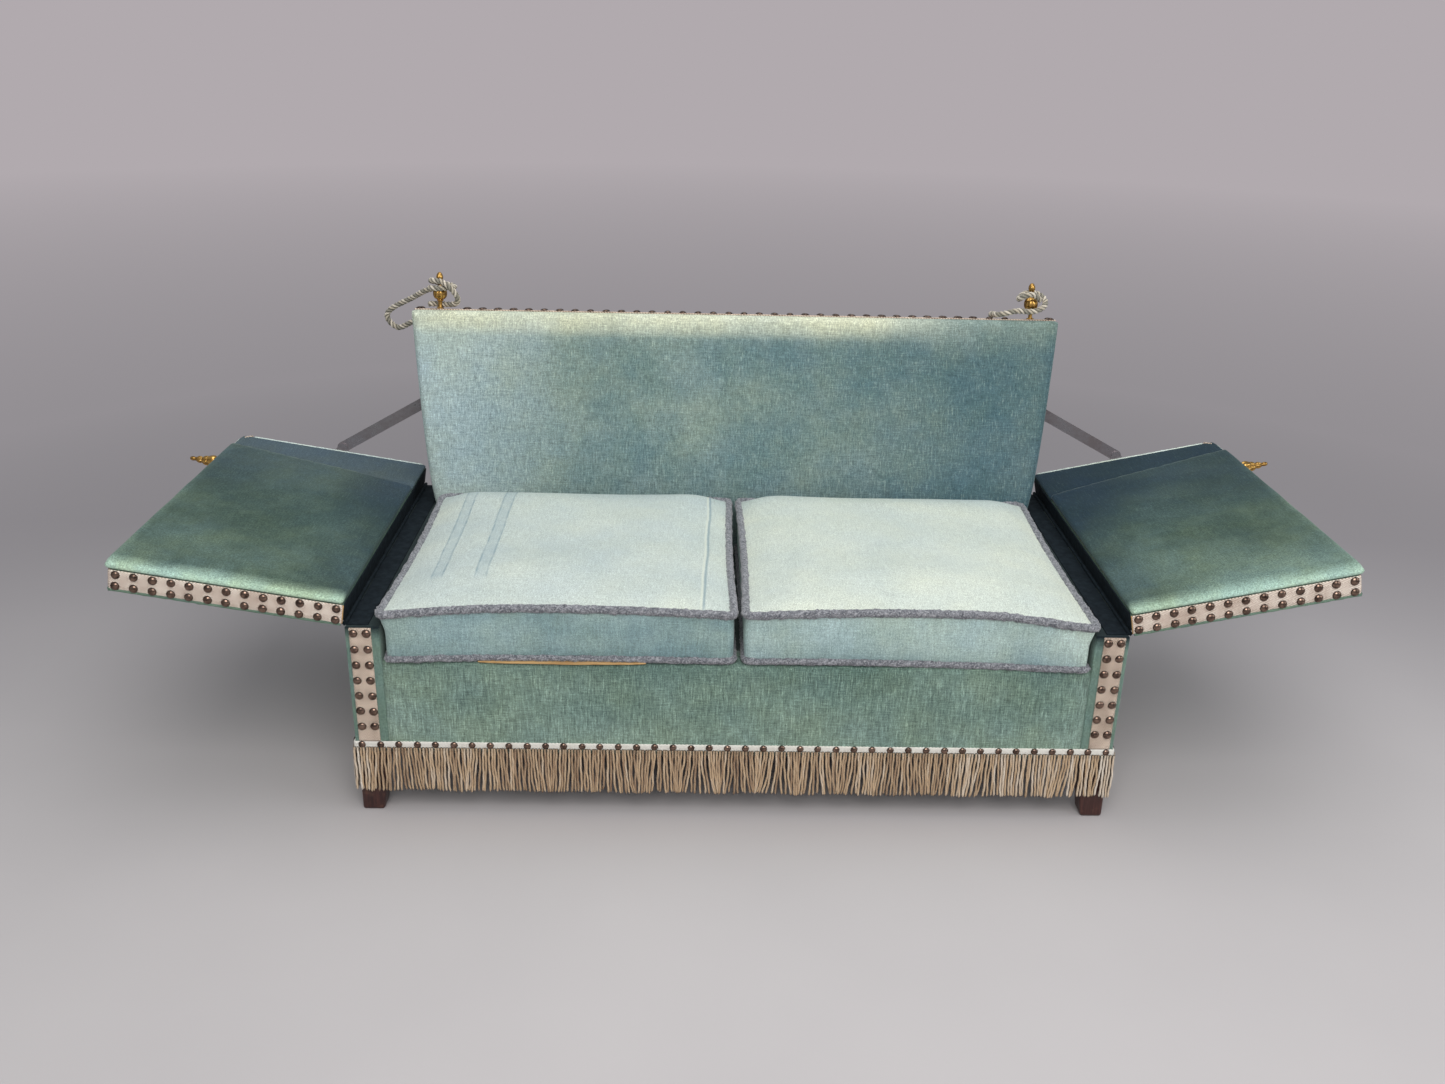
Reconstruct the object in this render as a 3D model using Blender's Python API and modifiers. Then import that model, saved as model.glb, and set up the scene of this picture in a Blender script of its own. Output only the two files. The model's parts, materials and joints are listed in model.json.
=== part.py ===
# Knole sofa with two drop arms that swing out on long hinges and rest on sliding steel stays.
# Metres, +Z up, the front faces -Y. While it is modelled, x = 0 is the centre line, y = 0 the
# front velvet and z = 0 the floor. The last step moves the root so that the origin is at the
# bottom centre of the sofa's box, with the cords left out of it.
# A right-hand piece is modelled first, and its left-hand twin is mirrored from it.

import math

import bmesh
import bpy
from mathutils import Euler, Matrix, Vector

# Clearances
GAP = 0.0003
OVERRUN = 0.02

# Base: seat box and the two upholstered side walls
HALF_WIDTH = 0.860
DEPTH = 0.905
WALL_TOP = 0.469
WALL_THICKNESS = 0.075
WALL_ROUND = 0.006
COVER_BOTTOM = 0.155
COVER = 0.004
APRON_TOP = 0.385
APRON_ROLL_DEPTH = 0.070
APRON_ROLL_ROUND = 0.014

# Seat frame and platform
POST_DEPTH = 0.060
RAIL_THICKNESS = 0.028
RAIL_BOTTOM = 0.1573
RAIL_TOP = 0.3397
HINGE_RAIL_HEIGHT = 0.040
WEBBING = 0.002
WEBBING_STRAP = 0.050
WEBBING_ALONG = 7
WEBBING_ACROSS = 4
DECK_ROUND = 0.008

# Feet
FOOT_HEIGHT = 0.150
FOOT_TOP_SIZE = 0.068
FOOT_BOTTOM_SIZE = 0.050
FOOT_INSET = 0.002
FOOT_ROUND = 0.006

# Trimmings: woven braid, round nails and bullion fringe
BRAID = 0.003
BRAID_WIDTH = 0.049
BRAID_INSET = 0.009
HEADING_TOP = 0.1845
HEADING_HEIGHT = 0.018
FRINGE_BOTTOM = 0.053
FRINGE_DEPTH = 0.0095
FRINGE_PITCH = 0.0225
FRINGE_GROOVE = 0.0045
NAIL_RADIUS = 0.0095
NAIL_HEIGHT = 0.006
NAIL_SINK = 0.0004
NAIL_BED = 0.0014
NAIL_SIDES = 8
NAIL_COLUMN_SPACING = 0.0285
POST_NAIL_ROWS = 7
POST_NAIL_PITCH = 0.0385
POST_NAIL_FIRST = 0.012
BAND_NAILS = 13
BAND_NAIL_MARGIN = 0.013

# Back
BACK_TOP = 0.985
BACK_FOOT_DEPTH = 0.186
BACK_RAKE = math.radians(11.06)
BACK_FLARE = 0.067
BACK_FLARE_FOOT = 0.010
BACK_FLARE_POWER = 0.6
BACK_BULGE = 0.009
BACK_ROUND = 0.018
BACK_NOTCH_RISE = 0.0045
BACK_NOTCH_HEIGHT = 0.002
BACK_SIDE_CLEARANCE = 0.0015
POCKET_WALL = 0.008
STILE_WIDTH = 0.045
STILE_DEPTH = 0.0454
STILE_TOP_INSET = 0.016
TOP_RAIL_HEIGHT = 0.045
TOP_BRAID_INSET = 0.007
TOP_BRAID_WIDTH = 0.049
TOP_BRAID_SET_BACK = 0.004

# Drop arms, in each arm's own frame: u out from the hinge axis, v back, w up from the
# outer face
HINGE_INSET = 0.002
HINGE_RISE = 0.0065
ARM_REST_LEFT = math.radians(9.0)
ARM_REST_RIGHT = math.radians(12.2)
ARM_UPRIGHT = math.radians(81.0)
ARM_LENGTH = 0.500
ARM_HEEL = 0.0065
ARM_REAR_OVERHANG = 0.002
ARM_CHAMFER = 0.014
ARM_TRAY = 0.0457
ARM_TRAY_WALL = 0.003
ARM_PAD_TOP = 0.064
ARM_PAD_CROWN = 0.010
ARM_PAD_LIP = 0.006
ARM_PAD_OVERHANG = 0.013
ARM_STRIP_TOP = 0.052
ARM_FRONT_ROLL = 0.024
ARM_EDGE_ROLL = 0.013
CREASE_LEAD = 0.006
CREASE_RAMP = 0.010
ARM_RAIL = 0.045
ARM_SLATS = 4
ARM_SLAT = 0.040
EDGE_BRAID_MARGIN = 0.0012

# Long hinge under each arm
HINGE_MARGIN = 0.008
HINGE_KNUCKLES = 7
KNUCKLE_RADIUS = 0.0042
KNUCKLE_BORE = 0.0025
KNUCKLE_GAP = 0.001
KNUCKLE_CLEARANCE = 0.0006
PIN_RADIUS = 0.0022
PIN_OVERHANG = 0.002
LEAF = 0.0025
LEAF_OFFSET = 0.0037
TOOTH_REACH = 0.0013
LEAF_WIDTH = 0.048
HINGE_STEPS = 12

# Stays: strap, bracket on the arm, keeper on the back
BRACKET = 0.003
BRACKET_U = 0.240
BRACKET_HALF_WIDTH = 0.025
BRACKET_BOTTOM = 0.010
BRACKET_TOP = 0.045
STAY_PIVOT_W = 0.062
EAR_RADIUS = 0.013
STAY_PIN_RADIUS = 0.004
STAY_PIN_HEAD = 0.0075
STAY_PLAY = 0.0005
STRAP_WIDTH = 0.030
STRAP = 0.0035
STOP_TAB = 0.010
STOP_TAB_INSET = 0.001
STOP_CLEARANCE = 0.001
KEEPER_INSET = 0.060
KEEPER_WIDTH = 0.018
KEEPER_RISE = 0.2285
KEEPER_OPENING = 0.059
KEEPER_AIM_RISE = 0.033
KEEPER = 0.003
KEEPER_FOOT = 0.018
KEEPER_PLAY = 0.0012

# Finials
BACK_FINIAL_INSET = 0.081
BACK_FINIAL_SET_BACK = 0.034
BACK_FINIAL_HEIGHT = 0.094
BACK_FINIAL_RADIUS = 0.0175
ARM_FINIAL_FROM_REAR = 0.157
ARM_FINIAL_LENGTH = 0.096
ARM_FINIAL_RADIUS = 0.0175
FINIAL_STEPS = 14

# Seat cushions
CUSHION_INNER = 0.0035
CUSHION_CLEARANCE = 0.0045
CUSHION_FRONT = -0.002
CUSHION_REAR_CLEARANCE = 0.005
CUSHION_CORNER = 0.036
CUSHION_BOX = 0.118
PIPING = 0.008
CUSHION_CROWN = 0.034
CUSHION_CROWN_REACH = 0.30
CUSHION_DRAWN_IN = 0.013
CUSHION_FRONT_RISE = 0.007
SEAM_INSET = 0.0075
BOXING_BULGE = 0.005
CORNER_POINTS = 5
SIDE_POINTS = 7

# Tie cords
CORD_RADIUS = 0.0075
CORD_STEP = 0.0095
CORD_CLEARANCE = 0.0008

# Profiles of turned pieces: (radius share, height share), from the tip down
BACK_FINIAL_SHARES = (
    (0.00, 1.000), (0.18, 0.990), (0.37, 0.945), (0.48, 0.885), (0.46, 0.820),
    (0.34, 0.755), (0.26, 0.710), (0.30, 0.660), (0.46, 0.628), (0.74, 0.585),
    (0.94, 0.522), (1.00, 0.447), (0.93, 0.372), (0.70, 0.303), (0.46, 0.271),
    (0.50, 0.245), (0.38, 0.213), (0.29, 0.181), (0.29, 0.050), (0.48, 0.032),
    (0.48, 0.000), (0.00, 0.000),
)
ARM_FINIAL_SHARES = (
    (0.00, 1.000), (0.22, 0.980), (0.34, 0.915), (0.28, 0.850), (0.34, 0.815),
    (0.50, 0.765), (0.52, 0.705), (0.45, 0.665), (0.66, 0.605), (0.74, 0.540),
    (0.70, 0.520), (0.90, 0.455), (1.00, 0.375), (0.92, 0.310), (0.62, 0.250),
    (0.34, 0.190), (0.30, 0.060), (0.46, 0.035), (0.46, 0.000), (0.00, 0.000),
)

# Derived places
WALL_INNER = HALF_WIDTH - WALL_THICKNESS
HINGE_X = HALF_WIDTH - HINGE_INSET
HINGE_Z = WALL_TOP + HINGE_RISE
ARM_DEPTH = DEPTH + ARM_REAR_OVERHANG
BACK_FACE_FOOT = DEPTH - BACK_FOOT_DEPTH
KEEPER_X = HALF_WIDTH - KEEPER_INSET
KEEPER_LOW = HINGE_Z + KEEPER_RISE
KEEPER_HIGH = KEEPER_LOW + KEEPER_OPENING
KEEPER_AIM = KEEPER_LOW + KEEPER_AIM_RISE
NOTCH_Z = WALL_TOP + BACK_NOTCH_RISE
PLATFORM_Z = RAIL_TOP + GAP + WEBBING + GAP
REAR_COVER_FRONT = DEPTH - COVER
FRAME_REAR = REAR_COVER_FRONT - GAP
ARM_PAD_BASE = ARM_TRAY + GAP
ARM_REAR_FACE = ARM_DEPTH + GAP
STRAP_FRONT = ARM_REAR_FACE + BRACKET + STAY_PLAY
STRAP_REAR = STRAP_FRONT + STRAP
KEEPER_INNER = STRAP_REAR + KEEPER_PLAY
BACK_AT_SEAT = BACK_FACE_FOOT - (HINGE_Z - PLATFORM_Z) * math.tan(BACK_RAKE)
CUSHION_BOTTOM = APRON_TOP + GAP
CUSHION_OUTER = WALL_INNER - CUSHION_CLEARANCE
CUSHION_REAR = BACK_AT_SEAT - CUSHION_REAR_CLEARANCE
DECK_REAR = CUSHION_REAR
STOP_TAB_HALF = STRAP_WIDTH / 2 - STOP_TAB_INSET
EDGE_FACE = ARM_LENGTH + GAP
ARM_FINIAL_V = ARM_DEPTH - ARM_FINIAL_FROM_REAR
PAD_EDGE = ARM_LENGTH + ARM_PAD_OVERHANG
BACK_FINIAL_X = HALF_WIDTH - BACK_FINIAL_INSET

for old in list(bpy.data.objects):
    bpy.data.objects.remove(old, do_unlink=True)

sofa_parts = bpy.data.collections.new("knole_sofa")
cutters = bpy.data.collections.new("cutters")
bpy.context.scene.collection.children.link(sofa_parts)
bpy.context.scene.collection.children.link(cutters)


# Helpers


def empty(name, parent=None, location=(0, 0, 0), rotation=(0, 0, 0)):
    obj = bpy.data.objects.new(name, None)
    obj.location = location
    obj.rotation_euler = rotation
    obj.parent = parent
    sofa_parts.objects.link(obj)
    return obj


def add(name, data, parent, location=(0, 0, 0), rotation=(0, 0, 0)):
    obj = bpy.data.objects.new(name, data)
    obj.parent = parent
    obj.location = location
    obj.rotation_euler = rotation
    sofa_parts.objects.link(obj)
    return obj


def finish(obj, colour, roughness, metallic=0.0):
    """Gives the piece its own material."""
    material = bpy.data.materials.new(obj.name + "_finish")
    material.use_nodes = True
    shader = material.node_tree.nodes["Principled BSDF"]
    shader.inputs["Base Color"].default_value = (*colour, 1.0)
    shader.inputs["Roughness"].default_value = roughness
    shader.inputs["Metallic"].default_value = metallic
    material.diffuse_color = (*colour, 1.0)
    obj.data.materials.clear()
    obj.data.materials.append(material)
    return obj


VELVET = ((0.10, 0.20, 0.20), 0.85)
DARK_VELVET = ((0.03, 0.07, 0.09), 0.85)
PALE_VELVET = ((0.55, 0.66, 0.60), 0.85)
LINEN = ((0.45, 0.38, 0.28), 0.90)
TRIM = ((0.62, 0.50, 0.42), 0.85)
FRINGE_TRIM = ((0.50, 0.40, 0.24), 0.85)
BEECH = ((0.50, 0.36, 0.22), 0.60)
DARK_WOOD = ((0.09, 0.03, 0.02), 0.45)
GILT = ((0.65, 0.42, 0.14), 0.30, 1.0)
STEEL = ((0.32, 0.28, 0.27), 0.45, 1.0)
CORD_TRIM = ((0.42, 0.38, 0.30), 0.85)


def box(name, low, high, parent, bevel=0.0):
    """A rectangular block between two corners, with its edges rounded where bevel says."""
    low, high = Vector(low), Vector(high)
    mesh = bpy.data.meshes.new(name)
    shape = bmesh.new()
    bmesh.ops.create_cube(shape, size=1.0)
    bmesh.ops.scale(shape, vec=high - low, verts=shape.verts)
    shape.to_mesh(mesh)
    shape.free()
    obj = add(name, mesh, parent, location=(low + high) / 2)
    if bevel:
        rounding = obj.modifiers.new("rounded edges", "BEVEL")
        rounding.width = bevel
        rounding.segments = 2
    return obj


PLAN = (0.0, 0.0, 0.0)
ELEVATION = (math.pi / 2, 0.0, 0.0)
SIDE = (math.pi / 2, 0.0, math.pi / 2)


def outline(name, loops, low, high, parent, facing=PLAN):
    """A flat outline, with any holes, extruded from low to high along the axis it faces."""
    curve = bpy.data.curves.new(name, "CURVE")
    curve.dimensions = "2D"
    curve.fill_mode = "BOTH"
    curve.extrude = (high - low) / 2
    for loop in loops:
        spline = curve.splines.new("POLY")
        spline.points.add(len(loop) - 1)
        spline.use_cyclic_u = True
        for point, (across, up) in zip(spline.points, loop):
            point.co = (across, up, 0.0, 1.0)
    middle = (low + high) / 2
    place = {PLAN: (0, 0, middle), ELEVATION: (0, middle, 0), SIDE: (middle, 0, 0)}[facing]
    return add(name, curve, parent, location=place, rotation=facing)


def as_mesh(obj):
    """The same piece as a welded mesh, so that it can be cut or joined."""
    bpy.context.view_layer.update()
    graph = bpy.context.evaluated_depsgraph_get()
    mesh = bpy.data.meshes.new_from_object(obj.evaluated_get(graph))
    shape = bmesh.new()
    shape.from_mesh(mesh)
    bmesh.ops.remove_doubles(shape, verts=shape.verts, dist=GAP / 10)
    bmesh.ops.recalc_face_normals(shape, faces=shape.faces)
    shape.to_mesh(mesh)
    shape.free()
    name = obj.name
    parent, place, turn = obj.parent, obj.location.copy(), obj.rotation_euler.copy()
    bpy.data.objects.remove(obj, do_unlink=True)
    return add(name, mesh, parent, location=place, rotation=turn)


def turned(name, profile, parent, steps, location=(0, 0, 0), rotation=(0, 0, 0)):
    """A profile of (radius, height) points, from the top down its outer side, turned on Z."""
    mesh = bpy.data.meshes.new(name)
    points = [(radius, 0.0, height) for radius, height in profile]
    mesh.from_pydata(points, [(i, i + 1) for i in range(len(points) - 1)], [])
    obj = add(name, mesh, parent, location=location, rotation=rotation)
    lathe = obj.modifiers.new("turned", "SCREW")
    lathe.steps = steps
    lathe.render_steps = steps
    lathe.use_merge_vertices = True
    lathe.merge_threshold = GAP / 10
    return obj


def tool(obj):
    """Turns a piece into a cutter or a joining body, which no render shows."""
    sofa_parts.objects.unlink(obj)
    cutters.objects.link(obj)
    obj.hide_render = True
    obj.display_type = "WIRE"
    return obj


def combine(obj, other, operation):
    change = obj.modifiers.new(operation.lower(), "BOOLEAN")
    change.operation = operation
    change.solver = "EXACT"
    change.object = tool(other)
    return obj


def settle(obj):
    """Applies the piece's modifiers, in its own place."""
    return as_mesh(obj)


def twin(obj, name, parent):
    """The left-hand copy of a right-hand piece, mirrored through x = 0 of its parent."""
    bpy.context.view_layer.update()
    graph = bpy.context.evaluated_depsgraph_get()
    mesh = bpy.data.meshes.new_from_object(obj.evaluated_get(graph))
    mesh.transform(Matrix.Diagonal((-1.0, 1.0, 1.0, 1.0)) @ obj.matrix_basis)
    mesh.flip_normals()
    return add(name, mesh, parent)


def pair(obj, right_parent, left_parent, look):
    """Finishes a piece named right_... and adds its left-hand twin."""
    copy = twin(obj, obj.name.replace("right", "left"), left_parent)
    finish(obj, *look)
    finish(copy, *look)
    return obj, copy


def smooth(obj, angle=math.radians(40)):
    obj.data.shade_smooth()
    obj.data.set_sharp_from_angle(angle=angle)
    return obj


def lerp(start, end, share):
    return start + (end - start) * share


def hump(share):
    """0 at both ends of 0 to 1 and 1 in the middle."""
    return max(math.sin(math.pi * share), 0.0)


def arc(centre, radius, start, end, steps):
    """Points on an arc, angles in radians."""
    return [
        (
            centre[0] + radius * math.cos(lerp(start, end, i / steps)),
            centre[1] + radius * math.sin(lerp(start, end, i / steps)),
        )
        for i in range(steps + 1)
    ]


# Frames that the pieces hang from

root = empty("sofa")


def arm_frame_at(name, side, rest):
    """The arm's own frame on its hinge axis. side is 1 on the right and -1 on the left."""
    return empty(name, root, (side * HINGE_X, 0, HINGE_Z), (0, -side * rest, 0))


right_arm = arm_frame_at("right_arm_axis", 1, ARM_REST_RIGHT)
left_arm = arm_frame_at("left_arm_axis", -1, ARM_REST_LEFT)


# Base frame


def build_seat_frame():
    post_inner, post_outer = WALL_INNER + COVER + GAP, HALF_WIDTH - COVER - GAP
    post_top = WALL_TOP - COVER - GAP
    front = COVER + GAP
    rear = FRAME_REAR
    for place, near, far in (
        ("front", front, front + POST_DEPTH),
        ("rear", rear - POST_DEPTH, rear),
    ):
        post = box(
            f"{place}_right_post",
            (post_inner, near, FOOT_HEIGHT + GAP),
            (post_outer, far, post_top),
            root,
        )
        pair(post, root, root, BEECH)
    between = (front + POST_DEPTH + GAP, rear - POST_DEPTH - GAP)
    middle = (post_inner + post_outer) / 2
    side_rail = box(
        "right_seat_rail",
        (middle - RAIL_THICKNESS / 2, between[0], RAIL_BOTTOM),
        (middle + RAIL_THICKNESS / 2, between[1], RAIL_TOP),
        root,
    )
    pair(side_rail, root, root, BEECH)
    hinge_rail = box(
        "right_hinge_rail",
        (post_inner, between[0], post_top - HINGE_RAIL_HEIGHT),
        (post_outer, between[1], post_top),
        root,
    )
    pair(hinge_rail, root, root, BEECH)
    rail_end = post_inner - GAP
    front_rail = box(
        "front_seat_rail",
        (-rail_end, front, RAIL_BOTTOM),
        (rail_end, front + RAIL_THICKNESS, RAIL_TOP),
        root,
    )
    rear_rail = box(
        "rear_seat_rail",
        (-rail_end, rear - RAIL_THICKNESS, RAIL_BOTTOM),
        (rail_end, rear, RAIL_TOP),
        root,
    )
    finish(front_rail, *BEECH)
    finish(rear_rail, *BEECH)


def build_webbing():
    """Jute straps woven both ways across the top of the seat rails."""
    half_x = HALF_WIDTH - COVER - GAP - RAIL_THICKNESS
    front = COVER + GAP + OVERRUN / 4
    rear = FRAME_REAR - OVERRUN / 4

    def stops(low, high, count):
        gap = (high - low - count * WEBBING_STRAP) / (count + 1)
        places = [low]
        for i in range(count):
            start = low + gap * (i + 1) + WEBBING_STRAP * i
            places += [start, start + WEBBING_STRAP]
        return places + [high]

    across = stops(-half_x, half_x, WEBBING_ALONG)
    along = stops(front, rear, WEBBING_ACROSS)
    shape = bmesh.new()
    corners = [[shape.verts.new((x, y, 0.0)) for y in along] for x in across]
    for i in range(len(across) - 1):
        for j in range(len(along) - 1):
            if i % 2 or j % 2:
                cell = (corners[i][j], corners[i + 1][j], corners[i + 1][j + 1], corners[i][j + 1])
                shape.faces.new(cell)
    loose = [vertex for vertex in shape.verts if not vertex.link_faces]
    bmesh.ops.delete(shape, geom=loose, context="VERTS")
    mesh = bpy.data.meshes.new("seat_webbing")
    shape.to_mesh(mesh)
    shape.free()
    webbing = add("seat_webbing", mesh, root, location=(0, 0, RAIL_TOP + GAP))
    thick = webbing.modifiers.new("thickness", "SOLIDIFY")
    thick.thickness = WEBBING
    thick.offset = 1.0
    finish(webbing, *LINEN)


def build_seat_platform():
    """The stuffed platform that the loose cushions lie on, and the sheet under the seat."""
    deck = box(
        "seat_platform",
        (-(WALL_INNER - GAP), COVER + APRON_ROLL_DEPTH + GAP, PLATFORM_Z),
        (WALL_INNER - GAP, DECK_REAR, APRON_TOP),
        root,
        bevel=DECK_ROUND,
    )
    finish(smooth(deck), *LINEN)
    inner = WALL_INNER + COVER
    dust = box(
        "dust_cover",
        (-inner, COVER + GAP, RAIL_BOTTOM - GAP - WEBBING),
        (inner, FRAME_REAR, RAIL_BOTTOM - GAP),
        root,
    )
    finish(dust, *DARK_VELVET)


def build_side_covers():
    """Velvet over wadding round each side wall, open below and low down on the inner side."""
    wall = box(
        "right_side_cover",
        (WALL_INNER, 0, COVER_BOTTOM),
        (HALF_WIDTH, DEPTH, WALL_TOP),
        root,
        bevel=WALL_ROUND,
    )
    hollow = box(
        "side_cover_hollow",
        (WALL_INNER + COVER, COVER, COVER_BOTTOM - OVERRUN),
        (HALF_WIDTH - COVER, DEPTH - COVER, WALL_TOP - COVER),
        root,
    )
    tuck = box(
        "side_cover_tuck",
        (WALL_INNER - OVERRUN, COVER, COVER_BOTTOM - OVERRUN),
        (WALL_INNER + OVERRUN, DEPTH - COVER, PLATFORM_Z + COVER / 2),
        root,
    )
    combine(wall, hollow, "DIFFERENCE")
    combine(wall, tuck, "DIFFERENCE")
    wall = smooth(settle(wall))
    pair(wall, root, root, VELVET)


def build_apron():
    """Velvet down the front rail, with a stuffed roll along its top edge."""
    roll_bottom = PLATFORM_Z
    section = [
        (0.0, COVER_BOTTOM),
        (COVER, COVER_BOTTOM),
        (COVER, roll_bottom),
        (COVER + APRON_ROLL_DEPTH, roll_bottom),
        (COVER + APRON_ROLL_DEPTH, APRON_TOP),
    ]
    centre = (APRON_ROLL_ROUND, APRON_TOP - APRON_ROLL_ROUND)
    section += arc(centre, APRON_ROLL_ROUND, math.pi / 2, math.pi, 4)
    end = WALL_INNER - GAP
    apron = outline("front_apron", [section], -end, end, root, SIDE)
    finish(apron, *VELVET)


def build_feet():
    """Square tapered feet: the outer and front faces stand upright, the other two taper in."""
    outer = HALF_WIDTH - FOOT_INSET

    def foot(name, front, direction):
        mesh = bpy.data.meshes.new(name)
        shape = bmesh.new()
        bmesh.ops.create_cube(shape, size=1.0)
        for vertex in shape.verts:
            upper = vertex.co.z > 0
            size = FOOT_TOP_SIZE if upper else FOOT_BOTTOM_SIZE
            vertex.co.x = outer if vertex.co.x > 0 else outer - size
            vertex.co.y = front if vertex.co.y < 0 else front + direction * size
            vertex.co.z = FOOT_HEIGHT if upper else 0.0
        shape.normal_update()
        bmesh.ops.recalc_face_normals(shape, faces=shape.faces)
        shape.to_mesh(mesh)
        shape.free()
        obj = add(name, mesh, root)
        rounding = obj.modifiers.new("rounded edges", "BEVEL")
        rounding.width = FOOT_ROUND
        rounding.segments = 2
        return obj

    front_foot = foot("front_right_foot", FOOT_INSET, 1)
    rear_foot = foot("rear_right_foot", DEPTH - FOOT_INSET, -1)
    pair(smooth(front_foot), root, root, DARK_WOOD)
    pair(smooth(rear_foot), root, root, DARK_WOOD)


# Back


def back_face(height):
    """y of the raked front of the back at a height."""
    return BACK_FACE_FOOT + (height - HINGE_Z) * math.tan(BACK_RAKE)


def back_half_width(height):
    """Half the width of the back: it clears the side walls low down and flares above them."""
    if height < NOTCH_Z:
        return WALL_INNER - BACK_SIDE_CLEARANCE
    share = (height - NOTCH_Z) / (BACK_TOP - NOTCH_Z)
    growth = (BACK_FLARE - BACK_FLARE_FOOT) * share**BACK_FLARE_POWER
    return WALL_INNER + BACK_FLARE_FOOT + growth


def back_top_at(depth):
    """z of the top of the back, which lies square to the raked front."""
    return BACK_TOP - (depth - back_face(BACK_TOP)) * math.tan(BACK_RAKE)


BACK_ROW_SHARES = (0.0, 0.05, 0.14, 0.28, 0.46, 0.66, 0.84, 0.95, 0.985, 1.0)
BACK_COLUMN_SHARES = (0.0, 0.012, 0.035, 0.12, 0.30, 0.5, 0.70, 0.88, 0.965, 0.988, 1.0)


def back_rows():
    """Heights of the rows of the back pad, with the step above the side walls."""
    low_shares = (0.0, 0.06, 0.5)
    low = [lerp(PLATFORM_Z, NOTCH_Z - BACK_NOTCH_HEIGHT, share) for share in low_shares]
    low.append(NOTCH_Z - BACK_NOTCH_HEIGHT)
    return low + [lerp(NOTCH_Z, BACK_TOP, share) for share in BACK_ROW_SHARES]


def back_surface(column, height):
    """A point on the padded front of the back."""
    half = back_half_width(height)
    across = lerp(-half, half, column)
    edge = min(half - abs(across), BACK_TOP - height, BACK_ROUND)
    set_back = BACK_ROUND - math.sqrt(max(BACK_ROUND**2 - (BACK_ROUND - edge) ** 2, 0.0))
    share = (height - PLATFORM_Z) / (BACK_TOP - PLATFORM_Z)
    bulge = BACK_BULGE * hump(column) ** 0.5 * hump(share) ** 0.7
    return Vector((across, back_face(height) + set_back - bulge, height))


def build_back_pad():
    """The stuffed back with its velvet, hollow behind for the frame."""
    rows = back_rows()
    shape = bmesh.new()
    bmesh.ops.create_grid(
        shape, x_segments=len(BACK_COLUMN_SHARES) - 1, y_segments=len(rows) - 1, size=1.0
    )
    for vertex in shape.verts:
        column = round((vertex.co.x + 1) / 2 * (len(BACK_COLUMN_SHARES) - 1))
        row = round((vertex.co.y + 1) / 2 * (len(rows) - 1))
        vertex.co = back_surface(BACK_COLUMN_SHARES[column], rows[row])
        if row == len(rows) - 1:
            vertex.co.z = back_top_at(vertex.co.y)
    rim = [edge for edge in shape.edges if edge.is_boundary]
    swept = bmesh.ops.extrude_edge_only(shape, edges=rim)["geom"]
    rear_top = back_top_at(FRAME_REAR)
    for item in swept:
        if isinstance(item, bmesh.types.BMVert):
            if item.co.z > NOTCH_Z:
                share = (item.co.z - NOTCH_Z) / (BACK_TOP - NOTCH_Z)
                item.co.z = lerp(NOTCH_Z, rear_top, share)
            item.co.y = FRAME_REAR
    rear_rim = [edge for edge in shape.edges if edge.is_boundary]
    bmesh.ops.edgeloop_fill(shape, edges=rear_rim)
    bmesh.ops.recalc_face_normals(shape, faces=shape.faces)
    mesh = bpy.data.meshes.new("back_pad")
    shape.to_mesh(mesh)
    shape.free()
    pad = add("back_pad", mesh, root)
    pocket = outline(
        "back_pocket",
        [stile_line(-OVERRUN, -GAP) + mirrored(stile_line(-OVERRUN, -GAP))],
        FRAME_REAR - STILE_DEPTH - GAP,
        FRAME_REAR + OVERRUN,
        root,
        ELEVATION,
    )
    combine(pad, as_mesh(pocket), "DIFFERENCE")
    pad = smooth(settle(pad))
    finish(pad, *VELVET)


def mirrored(points):
    """The same points on the left side, in reverse order."""
    return [(-across, up) for across, up in reversed(points)]


def stile_line(below=0.0, grow=0.0):
    """The outer edge of the back's frame: upright between the walls, then leaning out."""
    foot = WALL_INNER - BACK_SIDE_CLEARANCE - POCKET_WALL + grow
    top = back_half_width(BACK_TOP) - STILE_TOP_INSET + grow
    frame_top = back_top_at(FRAME_REAR) - POCKET_WALL + grow
    knee = NOTCH_Z - BACK_NOTCH_HEIGHT
    return [(foot, PLATFORM_Z + below), (foot, knee), (top, frame_top)]


def build_back_frame():
    foot, knee, top = stile_line(0.0, -GAP - GAP)
    front = FRAME_REAR - STILE_DEPTH
    stile = [foot, knee, top]
    inner = [(x - STILE_WIDTH, z) for x, z in reversed(stile)]
    right = outline("back_right_stile", [stile + inner], front, FRAME_REAR, root, ELEVATION)
    pair(as_mesh(right), root, root, BEECH)
    slope = (top[0] - knee[0]) / (top[1] - knee[1])
    rail_low = top[1] - TOP_RAIL_HEIGHT
    high_end = top[0] - STILE_WIDTH - GAP
    low_end = high_end - slope * TOP_RAIL_HEIGHT
    rail = [(low_end, rail_low), (high_end, top[1])]
    top_rail = outline(
        "back_top_rail", [rail + mirrored(rail)], front, FRAME_REAR, root, ELEVATION
    )
    finish(top_rail, *BEECH)


def build_rear_cover():
    """One panel of cloth over board closes the seat box and the back from behind."""
    edge = [(WALL_INNER - GAP, COVER_BOTTOM), (WALL_INNER - GAP, NOTCH_Z - BACK_NOTCH_HEIGHT)]
    top = back_top_at(DEPTH) - GAP
    for share in (0.0, 0.12, 0.35, 0.65, 1.0):
        height = lerp(NOTCH_Z, top, share)
        edge.append((back_half_width(height) - BACK_SIDE_CLEARANCE, height))
    panel = outline(
        "rear_cover", [edge + mirrored(edge)], REAR_COVER_FRONT, DEPTH, root, ELEVATION
    )
    finish(panel, *DARK_VELVET)


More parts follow.
